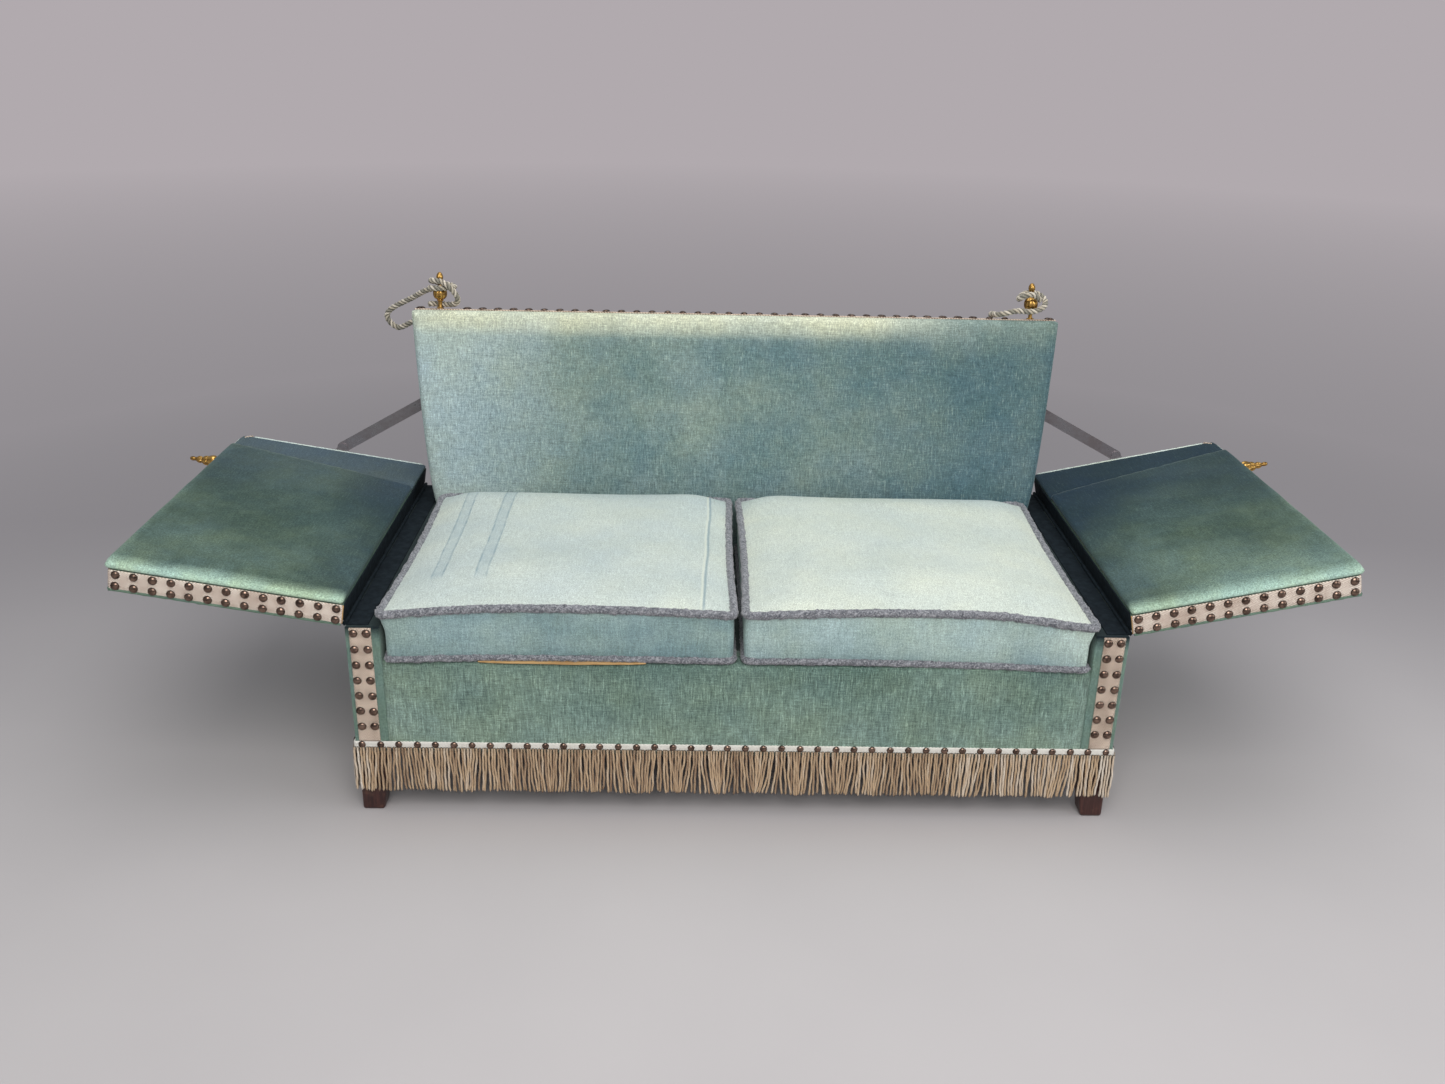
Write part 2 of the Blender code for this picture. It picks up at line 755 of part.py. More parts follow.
def back_top_frame(name, across, set_back):
    """An empty on the sloping top of the back, its z square to that top."""
    depth = back_face(BACK_TOP) + set_back * math.cos(BACK_RAKE)
    return empty(name, root, (across, depth, back_top_at(depth)), (-BACK_RAKE, 0, 0))


def build_top_braid():
    half = back_half_width(BACK_TOP) - TOP_BRAID_INSET
    place = back_top_frame("back_top_plane", 0.0, 0.0)
    front = BACK_ROUND + TOP_BRAID_SET_BACK
    braid = box(
        "back_top_braid",
        (-half, front, GAP),
        (half, front + TOP_BRAID_WIDTH, GAP + BRAID),
        place,
    )
    finish(braid, *TRIM)


# Trimmings


def nail_bed(name, places, parent, location=(0, 0, 0), rotation=(0, 0, 0)):
    """Domed nail heads at (across, up) places, each sunk a little into what carries it."""
    shape = bmesh.new()
    for across, up in places:
        made = bmesh.ops.create_uvsphere(
            shape, u_segments=NAIL_SIDES, v_segments=4, radius=1.0
        )["verts"]
        for vertex in made:
            x, y, z = vertex.co
            if z < -GAP:
                height = -NAIL_BED
            else:
                height = z * NAIL_HEIGHT - NAIL_SINK
            vertex.co = (across + x * NAIL_RADIUS, up + y * NAIL_RADIUS, height)
    mesh = bpy.data.meshes.new(name)
    shape.to_mesh(mesh)
    shape.free()
    return add(name, mesh, parent, location=location, rotation=rotation)


def build_post_braids():
    outer = HALF_WIDTH - BRAID_INSET
    top = WALL_TOP - BRAID
    braid = box(
        "right_post_braid",
        (outer - BRAID_WIDTH, -GAP - BRAID, HEADING_TOP + GAP),
        (outer, -GAP, top),
        root,
    )
    middle = outer - BRAID_WIDTH / 2
    places = [
        (middle + side * NAIL_COLUMN_SPACING / 2, top - POST_NAIL_FIRST - row * POST_NAIL_PITCH)
        for row in range(POST_NAIL_ROWS)
        for side in (-1, 1)
    ]
    nails = nail_bed(
        "post_nails", places, root, location=(0, -GAP - BRAID, 0), rotation=ELEVATION
    )
    combine(braid, nails, "UNION")
    braid = smooth(settle(braid))
    pair(braid, root, root, TRIM)


def skirt_line(offset):
    """The line of the skirt in plan, from the rear left round the front to the rear right."""
    side, front, rear = HALF_WIDTH + offset, -offset, REAR_COVER_FRONT
    return [(-side, rear), (-side, front), (side, front), (side, rear)]


def build_heading():
    """The narrow braid that heads the fringe, round the front and both sides."""
    inner = skirt_line(GAP)
    outer = skirt_line(GAP + BRAID)
    heading = outline(
        "fringe_heading",
        [outer + inner[::-1]],
        HEADING_TOP - HEADING_HEIGHT,
        HEADING_TOP,
        root,
    )
    finish(heading, *TRIM)


def build_fringe():
    """Bullion fringe: bunches of cord as flutes on the outside of a hanging band."""

    def flutes(start, end, normal):
        """Ridge and groove points along one run, without its end corners."""
        length = math.dist(start, end)
        count = max(2, round(length / FRINGE_PITCH))
        points = []
        for i in range(1, 2 * count):
            share = i / (2 * count)
            depth = 0.0 if i % 2 else -FRINGE_GROOVE
            points.append(
                (
                    lerp(start[0], end[0], share) + normal[0] * depth,
                    lerp(start[1], end[1], share) + normal[1] * depth,
                )
            )
        return points

    inner = skirt_line(GAP)
    outer = skirt_line(GAP + FRINGE_DEPTH)
    normals = ((-1, 0), (0, -1), (1, 0))
    rim = [outer[0]]
    for start, end, normal in zip(outer, outer[1:], normals):
        rim += flutes(start, end, normal) + [end]
    fringe = outline(
        "bullion_fringe",
        [rim + inner[::-1]],
        FRINGE_BOTTOM,
        HEADING_TOP - HEADING_HEIGHT - GAP,
        root,
    )
    finish(fringe, *FRINGE_TRIM)


# Drop arms


def pad_rear(out):
    """v of the rear edge of the arm's pad at a distance out, with its cut corner."""
    return ARM_DEPTH - max(0.0, out - (PAD_EDGE - ARM_CHAMFER))


def arm_outline(inset, near=ARM_HEEL):
    """The arm in plan, its rear outer corner cut, drawn in by inset all round."""
    cut = ARM_CHAMFER - inset * (2 - math.sqrt(2))
    out, rear = ARM_LENGTH - inset, ARM_DEPTH - inset
    return [
        (near + inset, inset),
        (out, inset),
        (out, rear - cut),
        (out - cut, rear),
        (near + inset, rear),
    ]


def build_arm_cover():
    """The outer cover of the arm, a shallow tray that holds its frame."""
    shape = bmesh.new()
    corners = [shape.verts.new((u, v, 0.0)) for u, v in arm_outline(0.0)]
    floor = shape.faces.new(corners)
    swept = bmesh.ops.extrude_edge_only(shape, edges=list(floor.edges))["geom"]
    rim = [item for item in swept if isinstance(item, bmesh.types.BMVert)]
    bmesh.ops.translate(shape, verts=rim, vec=(0, 0, ARM_TRAY))
    bmesh.ops.recalc_face_normals(shape, faces=shape.faces)
    if floor.normal.z > 0:
        bmesh.ops.reverse_faces(shape, faces=shape.faces)
    mesh = bpy.data.meshes.new("right_arm_cover")
    shape.to_mesh(mesh)
    shape.free()
    cover = add("right_arm_cover", mesh, right_arm)
    wall = cover.modifiers.new("wall", "SOLIDIFY")
    wall.thickness = ARM_TRAY_WALL
    wall.offset = -1.0
    wall.use_even_offset = True
    pair(settle(cover), right_arm, left_arm, DARK_VELVET)


def build_arm_frame():
    """Beech ladder frame inside the arm."""
    inset = ARM_TRAY_WALL + GAP
    rim = arm_outline(inset)
    low_u, high_u = ARM_HEEL + inset + ARM_RAIL, ARM_LENGTH - inset - ARM_RAIL
    low_v, high_v = inset + ARM_RAIL, ARM_DEPTH - inset - ARM_RAIL
    bay = (high_v - low_v - ARM_SLATS * ARM_SLAT) / (ARM_SLATS + 1)
    holes = []
    for i in range(ARM_SLATS + 1):
        start = low_v + i * (bay + ARM_SLAT)
        holes.append(
            [(low_u, start), (high_u, start), (high_u, start + bay), (low_u, start + bay)]
        )
    frame = outline(
        "right_arm_frame", [rim] + holes, inset, ARM_TRAY, right_arm
    )
    pair(as_mesh(frame), right_arm, left_arm, BEECH)


ARM_COLUMN_SHARES = (0.10, 0.24, 0.42, 0.60, 0.78)
ARM_ROW_SHARES = (0.08, 0.22, 0.40, 0.58, 0.76, 0.92)
ROLL_SHARES = (0.0, 0.12, 0.40, 1.0)


def crease(out):
    """v of the line that the edge of the back has pressed into the arm."""
    return back_face(HINGE_Z + out) - CREASE_LEAD


def arm_pad_columns():
    inner = [ARM_HEEL + ARM_EDGE_ROLL * share for share in ROLL_SHARES]
    outer = [PAD_EDGE - ARM_EDGE_ROLL * share for share in reversed(ROLL_SHARES)]
    middle = [lerp(inner[-1], outer[0], share) for share in ARM_COLUMN_SHARES]
    return inner + middle + outer


def arm_pad_rows(out):
    """v of each row at a distance out: rolled front, body, crease, pressed strip, rear."""
    rear = pad_rear(out)
    rows = [ARM_FRONT_ROLL * share for share in ROLL_SHARES]
    body_end = crease(out) - CREASE_RAMP
    rows += [lerp(ARM_FRONT_ROLL, body_end, share) for share in ARM_ROW_SHARES]
    rows += [body_end, crease(out)]
    rows += [rear - ARM_EDGE_ROLL * share for share in reversed(ROLL_SHARES)]
    return rows


def arm_pad_height(out, back, row, row_count):
    """w of the padded face of the arm."""
    start, end = ARM_HEEL, PAD_EDGE
    across = (out - start) / (end - start)
    along = min(back / (crease(out) - CREASE_RAMP), 1.0)
    crown = ARM_PAD_CROWN * hump(across) ** 0.7 * hump(along) ** 0.5
    strip = row >= row_count - len(ROLL_SHARES) - 1
    top = ARM_STRIP_TOP if strip else ARM_PAD_TOP + crown

    def rounded(distance, radius):
        share = min(max(distance / radius, 0.0), 1.0)
        return math.sqrt(1 - (1 - share) ** 2)

    edge = rounded(back, ARM_FRONT_ROLL)
    edge = min(edge, rounded(out - start, ARM_EDGE_ROLL), rounded(end - out, ARM_EDGE_ROLL))
    edge = min(edge, rounded(pad_rear(out) - back, ARM_EDGE_ROLL))
    low = ARM_PAD_BASE + ARM_PAD_LIP
    return low + (top - low) * edge


def build_arm_pad():
    """The stuffed inner face of the arm, with a rolled front and a strip pressed flat."""
    columns = arm_pad_columns()
    row_count = len(arm_pad_rows(0.0))
    shape = bmesh.new()
    bmesh.ops.create_grid(
        shape, x_segments=len(columns) - 1, y_segments=row_count - 1, size=1.0
    )
    for vertex in shape.verts:
        column = round((vertex.co.x + 1) / 2 * (len(columns) - 1))
        row = round((vertex.co.y + 1) / 2 * (row_count - 1))
        out = columns[column]
        back = arm_pad_rows(out)[row]
        vertex.co = (out, back, arm_pad_height(out, back, row, row_count))
    rim = [edge for edge in shape.edges if edge.is_boundary]
    swept = bmesh.ops.extrude_edge_only(shape, edges=rim)["geom"]
    for item in swept:
        if isinstance(item, bmesh.types.BMVert):
            item.co.x = lerp(ARM_HEEL, ARM_LENGTH, (item.co.x - ARM_HEEL) / (PAD_EDGE - ARM_HEEL))
            item.co.z = ARM_PAD_BASE
    bottom_rim = [edge for edge in shape.edges if edge.is_boundary]
    bmesh.ops.edgeloop_fill(shape, edges=bottom_rim)
    bmesh.ops.recalc_face_normals(shape, faces=shape.faces)
    mesh = bpy.data.meshes.new("right_arm_pad")
    shape.to_mesh(mesh)
    shape.free()
    pad = smooth(add("right_arm_pad", mesh, right_arm))
    pair(pad, right_arm, left_arm, PALE_VELVET)


def build_arm_braids():
    """Braid with two rows of nails along the arm's front, and braid round its outer edge."""
    band = box(
        "right_arm_front_band",
        (ARM_HEEL, -GAP - BRAID, GAP),
        (ARM_LENGTH, -GAP, ARM_TRAY),
        right_arm,
    )
    middle = (GAP + ARM_TRAY) / 2
    first, last = ARM_HEEL + BAND_NAIL_MARGIN, ARM_LENGTH - BAND_NAIL_MARGIN
    places = [
        (lerp(first, last, i / (BAND_NAILS - 1)), middle + side * NAIL_COLUMN_SPACING / 2)
        for i in range(BAND_NAILS)
        for side in (-1, 1)
    ]
    nails = nail_bed(
        "band_nails", places, right_arm, location=(0, -GAP - BRAID, 0), rotation=ELEVATION
    )
    combine(band, nails, "UNION")
    pair(smooth(settle(band)), right_arm, left_arm, TRIM)

    inner, outer = arm_outline(-GAP), arm_outline(-GAP - BRAID)
    front = EDGE_BRAID_MARGIN
    end_u = inner[3][0] + GAP + BRAID
    line = [
        (inner[1][0], front),
        (outer[1][0], front),
        outer[2],
        (end_u, outer[3][1] - (end_u - outer[3][0])),
        (end_u, inner[3][1] - (end_u - inner[3][0])),
        inner[2],
    ]
    edge = outline(
        "right_arm_edge_braid",
        [line],
        EDGE_BRAID_MARGIN,
        ARM_TRAY - EDGE_BRAID_MARGIN,
        right_arm,
    )
    pair(as_mesh(edge), right_arm, left_arm, TRIM)


def build_finials():
    profile = [
        (radius * ARM_FINIAL_RADIUS, height * ARM_FINIAL_LENGTH)
        for radius, height in ARM_FINIAL_SHARES
    ]
    finial = turned(
        "right_arm_finial",
        profile,
        right_arm,
        FINIAL_STEPS,
        location=(EDGE_FACE + BRAID + GAP, ARM_FINIAL_V, ARM_TRAY / 2),
        rotation=(0, math.pi / 2, 0),
    )
    pair(smooth(settle(finial)), right_arm, left_arm, GILT)
    profile = [
        (radius * BACK_FINIAL_RADIUS, height * BACK_FINIAL_HEIGHT)
        for radius, height in BACK_FINIAL_SHARES
    ]
    for side, name in ((1, "right"), (-1, "left")):
        place = back_top_frame(f"{name}_finial_place", side * BACK_FINIAL_X, BACK_FINIAL_SET_BACK)
        finial = turned(
            f"back_{name}_finial",
            profile,
            place,
            FINIAL_STEPS,
            location=(0, 0, GAP + BRAID + GAP),
        )
        finish(smooth(settle(finial)), *GILT)


# Long hinges


def knuckle_spans():
    """(start, end) of each knuckle along the hinge."""
    start, end = HINGE_MARGIN, DEPTH - HINGE_MARGIN
    pitch = (end - start) / HINGE_KNUCKLES
    return [
        (start + i * pitch + KNUCKLE_GAP / 2, start + (i + 1) * pitch - KNUCKLE_GAP / 2)
        for i in range(HINGE_KNUCKLES)
    ]


def leaf_plate(name, spans, own, far_line, place, parent):
    """A hinge leaf in strips, with teeth at its own knuckles. place turns (distance, along,
    offset) from the axis into the parent's frame."""
    root_line = KNUCKLE_RADIUS + KNUCKLE_CLEARANCE
    stops = sorted({spans[0][0], spans[-1][1]}.union(*(set(span) for span in spans[own::2])))
    shape = bmesh.new()
    lines = {}
    for distance in (far_line, root_line, -TOOTH_REACH):
        lines[distance] = [shape.verts.new((distance, along, LEAF_OFFSET)) for along in stops]
    for i in range(len(stops) - 1):
        far, near, tip = (lines[line] for line in (far_line, root_line, -TOOTH_REACH))
        shape.faces.new((far[i], far[i + 1], near[i + 1], near[i]))
        if (stops[i], stops[i + 1]) in spans[own::2]:
            shape.faces.new((near[i], near[i + 1], tip[i + 1], tip[i]))
    swept = bmesh.ops.extrude_face_region(shape, geom=list(shape.faces))["geom"]
    for item in swept:
        if isinstance(item, bmesh.types.BMVert):
            item.co.z = LEAF_OFFSET + LEAF
    loose = [vertex for vertex in shape.verts if not vertex.link_faces]
    bmesh.ops.delete(shape, geom=loose, context="VERTS")
    for vertex in shape.verts:
        vertex.co = place(*vertex.co)
    bmesh.ops.recalc_face_normals(shape, faces=shape.faces)
    mesh = bpy.data.meshes.new(name)
    shape.to_mesh(mesh)
    shape.free()
    return add(name, mesh, parent)


def knuckles(name, spans, own, parent):
    """Tubes round the axis at every other span, along y."""
    shape = bmesh.new()
    for i, (start, end) in enumerate(spans):
        if i % 2 != own:
            continue
        rings = []
        for along in (start, end):
            for radius in (KNUCKLE_RADIUS, KNUCKLE_BORE):
                rings.append(
                    [
                        shape.verts.new((radius * math.cos(turn), along, radius * math.sin(turn)))
                        for turn in (
                            2 * math.pi * step / HINGE_STEPS for step in range(HINGE_STEPS)
                        )
                    ]
                )
        near_outer, near_bore, far_outer, far_bore = rings
        for first, second in (
            (near_outer, far_outer),
            (far_outer, far_bore),
            (far_bore, near_bore),
            (near_bore, near_outer),
        ):
            for step in range(HINGE_STEPS):
                after = (step + 1) % HINGE_STEPS
                shape.faces.new((first[step], first[after], second[after], second[step]))
    bmesh.ops.recalc_face_normals(shape, faces=shape.faces)
    mesh = bpy.data.meshes.new(name)
    shape.to_mesh(mesh)
    shape.free()
    return add(name, mesh, parent)


def build_hinges():
    """A long hinge: fixed leaf on the wall, moving leaf on the arm's heel, pin between."""
    spans = knuckle_spans()
    axis = empty("right_hinge_line", root, (HINGE_X, 0, HINGE_Z))
    fixed_leaf = leaf_plate(
        "right_hinge_wall_leaf",
        spans,
        0,
        LEAF_WIDTH,
        lambda distance, along, offset: (-distance, along, -offset),
        axis,
    )
    combine(fixed_leaf, knuckles("wall_knuckles", spans, 0, axis), "UNION")
    fixed_leaf = smooth(settle(fixed_leaf))
    left_axis = empty("left_hinge_line", root, (-HINGE_X, 0, HINGE_Z))
    pair(fixed_leaf, axis, left_axis, GILT)

    moving_leaf = leaf_plate(
        "right_hinge_arm_leaf",
        spans,
        1,
        ARM_TRAY,
        lambda distance, along, offset: (offset, along, distance),
        right_arm,
    )
    combine(moving_leaf, knuckles("arm_knuckles", spans, 1, right_arm), "UNION")
    pair(smooth(settle(moving_leaf)), right_arm, left_arm, GILT)

    length = spans[-1][1] - spans[0][0] + 2 * PIN_OVERHANG
    half = length / 2
    pin = turned(
        "right_hinge_pin",
        [(0.0, half), (PIN_RADIUS, half), (PIN_RADIUS, -half), (0.0, -half)],
        axis,
        HINGE_STEPS,
        location=(0, spans[0][0] - PIN_OVERHANG + half, 0),
        rotation=ELEVATION,
    )
    pair(smooth(settle(pin)), axis, left_axis, STEEL)


# Stays


def stay_pivot(side, rest):
    """Where the strap is riveted to the arm's bracket, with the arm at rest."""
    across = BRACKET_U * math.cos(rest) - STAY_PIVOT_W * math.sin(rest)
    up = BRACKET_U * math.sin(rest) + STAY_PIVOT_W * math.cos(rest)
    return Vector((side * (HINGE_X + across), 0, HINGE_Z + up))


def build_stay_brackets():
    """The plate on the arm's rear edge whose ear holds the riveted pin."""
    ear = (BRACKET_U, STAY_PIVOT_W)
    plate = [
        (BRACKET_U - BRACKET_HALF_WIDTH, BRACKET_BOTTOM),
        (BRACKET_U + BRACKET_HALF_WIDTH, BRACKET_BOTTOM),
        (BRACKET_U + BRACKET_HALF_WIDTH, BRACKET_TOP),
    ]
    plate += arc(ear, EAR_RADIUS, 0.0, math.pi, 8)
    plate.append((BRACKET_U - BRACKET_HALF_WIDTH, BRACKET_TOP))
    bracket = outline(
        "right_stay_bracket",
        [plate],
        ARM_REAR_FACE,
        ARM_REAR_FACE + BRACKET,
        right_arm,
        ELEVATION,
    )
    bracket = as_mesh(bracket)
    head_front = STRAP_REAR + STAY_PLAY
    head_rear = head_front + BRACKET
    shank_start = ARM_REAR_FACE + BRACKET / 2
    profile = [
        (0.0, -head_rear),
        (STAY_PIN_HEAD, -head_rear),
        (STAY_PIN_HEAD, -head_front),
        (STAY_PIN_RADIUS, -head_front),
        (STAY_PIN_RADIUS, -shank_start),
        (0.0, -shank_start),
    ]
    pin = turned(
        "stay_pin",
        list(reversed(profile)),
        right_arm,
        FINIAL_STEPS,
        location=(BRACKET_U, 0, STAY_PIVOT_W),
        rotation=ELEVATION,
    )
    combine(bracket, settle(pin), "UNION")
    pair(smooth(settle(bracket)), right_arm, left_arm, STEEL)


def build_stay(side, name, rest):
    """The flat strap, riveted to the bracket, running up through the keeper to its stop."""
    pivot = stay_pivot(side, rest)
    slope = math.atan2(KEEPER_AIM - pivot.z, abs(pivot.x) - KEEPER_X)
    turn = math.pi + slope if side > 0 else -slope
    frame = empty(f"{name}_stay_axis", root, pivot, (0, turn, 0))
    bridge_edge = (abs(pivot.x) - KEEPER_X + KEEPER_WIDTH / 2) / math.cos(slope)
    stop = bridge_edge + STOP_TAB_HALF * math.tan(slope) + STOP_CLEARANCE
    length = stop + STRAP + STOP_TAB_INSET
    half = STRAP_WIDTH / 2
    rim = arc((0.0, 0.0), half, math.pi / 2, 3 * math.pi / 2, 8)
    rim += [(length, -half), (length, half)]
    eye = arc((0.0, 0.0), STAY_PIN_RADIUS + GAP, 0.0, 2 * math.pi, 12)[:-1]
    strap = outline(
        f"{name}_stay_strap", [rim, eye], STRAP_FRONT, STRAP_REAR, frame, ELEVATION
    )
    strap = as_mesh(strap)
    tab = box(
        f"{name}_stop_tab",
        (stop, STRAP_FRONT + STRAP / 2, -STOP_TAB_HALF),
        (stop + STRAP, STRAP_REAR + STOP_TAB, STOP_TAB_HALF),
        frame,
    )
    combine(strap, tab, "UNION")
    finish(smooth(settle(strap)), *STEEL)


def build_keepers():
    """The bent loop behind the back that the strap slides through."""
    base = DEPTH + GAP
    bridge = KEEPER_INNER + KEEPER
    section = [
        (base, KEEPER_LOW - KEEPER_FOOT),
        (base + KEEPER, KEEPER_LOW - KEEPER_FOOT),
        (base + KEEPER, KEEPER_LOW - KEEPER),
        (bridge, KEEPER_LOW - KEEPER),
        (bridge, KEEPER_HIGH + KEEPER),
        (base + KEEPER, KEEPER_HIGH + KEEPER),
        (base + KEEPER, KEEPER_HIGH + KEEPER_FOOT),
        (base, KEEPER_HIGH + KEEPER_FOOT),
        (base, KEEPER_HIGH),
        (KEEPER_INNER, KEEPER_HIGH),
        (KEEPER_INNER, KEEPER_LOW),
        (base, KEEPER_LOW),
    ]
    keeper = outline(
        "right_stay_keeper",
        [section],
        KEEPER_X - KEEPER_WIDTH / 2,
        KEEPER_X + KEEPER_WIDTH / 2,
        root,
        SIDE,
    )
    pair(as_mesh(keeper), root, root, STEEL)


# Seat cushions


def rounded_rectangle(low, high, radius):
    """Points round a rectangle from its front left corner, with (side, share) for each."""
    points = []
    corners = (
        (high[0] - radius, low[1] + radius, -math.pi / 2),
        (high[0] - radius, high[1] - radius, 0.0),
        (low[0] + radius, high[1] - radius, math.pi / 2),
        (low[0] + radius, low[1] + radius, math.pi),
    )
    straight = (
        ((low[0] + radius, low[1]), (high[0] - radius, low[1])),
        ((high[0], low[1] + radius), (high[0], high[1] - radius)),
        ((high[0] - radius, high[1]), (low[0] + radius, high[1])),
        ((low[0], high[1] - radius), (low[0], low[1] + radius)),
    )
    inward = ((0, 1), (-1, 0), (0, -1), (1, 0))
    for side in range(4):
        start, end = straight[side]
        for i in range(1, SIDE_POINTS + 1):
            share = i / (SIDE_POINTS + 1)
            point = (lerp(start[0], end[0], share), lerp(start[1], end[1], share))
            points.append((point, inward[side], hump(share), side == 0))
        x, y, first = corners[side]
        for point in arc((x, y), radius, first, first + math.pi / 2, CORNER_POINTS - 1):
            points.append((point, (0, 0), 0.0, side == 0))
    return points


def cushion_levels():
    """(inset, height, drawn-in share, front rise share) of each ring, from below."""
    low = CUSHION_BOTTOM
    high = CUSHION_BOTTOM + CUSHION_BOX
    tuck = PIPING * 0.8
    levels = [
        (CUSHION_CORNER, low, 0.3, 0.0),
        (PIPING, low, 0.3, 0.0),
        (PIPING * 0.2, low + PIPING * 0.4, 0.3, 0.0),
        (0.0, low + PIPING, 0.3, 0.0),
        (PIPING * 0.3, low + PIPING + tuck, 0.3, 0.0),
        (SEAM_INSET, low + 2 * PIPING, 0.35, 0.0),
        (SEAM_INSET - BOXING_BULGE, (low + high) / 2, 0.6, 0.4),
        (SEAM_INSET, high - PIPING, 0.95, 0.9),
        (PIPING * 0.3, high - tuck, 1.0, 1.0),
        (0.0, high, 1.0, 1.0),
        (PIPING * 0.4, high + tuck, 1.0, 1.0),
        (PIPING * 1.2, high + PIPING, 1.0, 1.0),
    ]
    start = PIPING * 2
    for share in (0.0, 0.10, 0.26, 0.50, 0.78, 1.0):
        inset = lerp(start, CUSHION_CROWN_REACH, share)
        rise = CUSHION_CROWN * (1 - (1 - share) ** 2.2)
        levels.append((inset, high + PIPING + rise, 1 - share, 1 - share))
    return levels


def build_cushion():
    """A box cushion with piped edges, a crown and fronts that pull in between the corners."""
    shape = bmesh.new()
    rings = []
    for inset, height, drawn, rise in cushion_levels():
        low = (CUSHION_INNER + inset, CUSHION_FRONT + inset)
        high = (CUSHION_OUTER - inset, CUSHION_REAR - inset)
        radius = max(CUSHION_CORNER - inset, PIPING)
        ring = []
        for (x, y), inward, share, front in rounded_rectangle(low, high, radius):
            pull = CUSHION_DRAWN_IN * drawn * share * (1.0 if front else 0.5)
            lift = CUSHION_FRONT_RISE * rise * share if front else 0.0
            place = (x + inward[0] * pull, y + inward[1] * pull, height + lift)
            ring.append(shape.verts.new(place))
        rings.append(ring)
    for lower, upper in zip(rings, rings[1:]):
        for i in range(len(lower)):
            after = (i + 1) % len(lower)
            shape.faces.new((lower[i], lower[after], upper[after], upper[i]))
    for ring, height in ((rings[0], rings[0][0].co.z), (rings[-1], rings[-1][0].co.z)):
        middle = sum((vertex.co for vertex in ring), Vector()) / len(ring)
        centre = shape.verts.new((middle.x, middle.y, height))
        for i in range(len(ring)):
            shape.faces.new((ring[i], ring[(i + 1) % len(ring)], centre))
    bmesh.ops.recalc_face_normals(shape, faces=shape.faces)
    mesh = bpy.data.meshes.new("right_cushion")
    shape.to_mesh(mesh)
    shape.free()
    cushion = smooth(add("right_cushion", mesh, root))
    pair(cushion, root, root, PALE_VELVET)


# Tie cords


def smooth_route(points):
    """A Catmull-Rom curve through the points, sampled at even steps."""
    points = [Vector(point) for point in points]
    ends = [points[0] * 2 - points[1]] + points + [points[-1] * 2 - points[-2]]
    fine = []
    for i in range(1, len(ends) - 2):
        before, start, end, after = ends[i - 1 : i + 3]
        for step in range(24):
            t = step / 24
            fine.append(
                0.5
                * (
                    2 * start
                    + (end - before) * t
                    + (2 * before - 5 * start + 4 * end - after) * t**2
                    + (3 * start - before - 3 * end + after) * t**3
                )
            )
    fine.append(points[-1])
    total = sum((b - a).length for a, b in zip(fine, fine[1:]))
    count = max(2, round(total / CORD_STEP))
    route, walked, target = [fine[0]], 0.0, total / count
    for a, b in zip(fine, fine[1:]):
        length = (b - a).length
        while len(route) < count and walked + length >= target * len(route):
            route.append(a.lerp(b, (target * len(route) - walked) / length))
        walked += length
    route.append(fine[-1])
    return route, total


def least_gap(route):
    """The least clear distance of the cord to itself, leaving out its near neighbours."""
    skip = round(math.pi * 2 * CORD_RADIUS / CORD_STEP) + 2
    least = math.inf
    for i in range(len(route)):
        for j in range(i + skip, len(route)):
            least = min(least, (route[i] - route[j]).length)
    return least - 2 * CORD_RADIUS


def cord(name, points):
    route, total = smooth_route(points)
    curve = bpy.data.curves.new(name, "CURVE")
    curve.dimensions = "3D"
    curve.bevel_depth = CORD_RADIUS
    curve.bevel_resolution = 2
    curve.use_fill_caps = True
    spline = curve.splines.new("POLY")
    spline.points.add(len(route) - 1)
    for point, place in zip(spline.points, route):
        point.co = (*place, 1.0)
    print(f"{name}: {len(route)} points, length {total:.4f}, least gap {least_gap(route):.4f}")
    obj = add(name, curve, root)
    finish(obj, *CORD_TRIM)
    return obj


# Routes of the two cords, chosen by hand and given from the foot of each back finial
LEFT_CORD_ROUTE = (
    (-0.0530, 0.0608, -0.0320),
    (-0.0760, 0.0620, -0.0450),
    (-0.0990, 0.0650, -0.0555),
    (-0.1130, 0.0700, -0.0635),
    (-0.1310, 0.0740, -0.0695),
    (-0.1500, 0.0760, -0.0585),
    (-0.1590, 0.0760, -0.0415),
    (-0.1540, 0.0750, -0.0265),
    (-0.1350, 0.0710, -0.0115),
    (-0.1110, 0.0645, 0.0015),
    (-0.0840, 0.0520, 0.0160),
    (-0.0590, 0.0360, 0.0315),
    (-0.0380, 0.0215, 0.0435),
    (-0.0260, 0.0155, 0.0479),
    (-0.0245, 0.0022, 0.0531),
    (-0.0155, -0.0095, 0.0559),
    (0.0000, -0.0135, 0.0561),
    (0.0130, -0.0100, 0.0559),
    (0.0240, -0.0004, 0.0551),
    (0.0330, 0.0126, 0.0541),
    (0.0350, 0.0257, 0.0531),
    (0.0260, 0.0370, 0.0539),
    (0.0100, 0.0397, 0.0569),
    (-0.0070, 0.0364, 0.0612),
    (-0.0180, 0.0271, 0.0655),
    (-0.0220, 0.0137, 0.0702),
    (-0.0180, 0.0020, 0.0730),
    (-0.0080, -0.0049, 0.0738),
    (0.0050, -0.0096, 0.0732),
    (0.0160, -0.0148, 0.0701),
    (0.0250, -0.0188, 0.0653),
    (0.0330, -0.0183, 0.0576),
    (0.0410, -0.0143, 0.0466),
    (0.0465, -0.0086, 0.0343),
    (0.0470, -0.0018, 0.0223),
    (0.0410, 0.0047, 0.0138),
    (0.0300, 0.0101, 0.0098),
    (0.0160, 0.0149, 0.0083),
    (0.0020, 0.0168, 0.0079),
    (-0.0120, 0.0155, 0.0087),
    (-0.0220, 0.0111, 0.0101),
    (-0.0310, 0.0062, 0.0110),
)
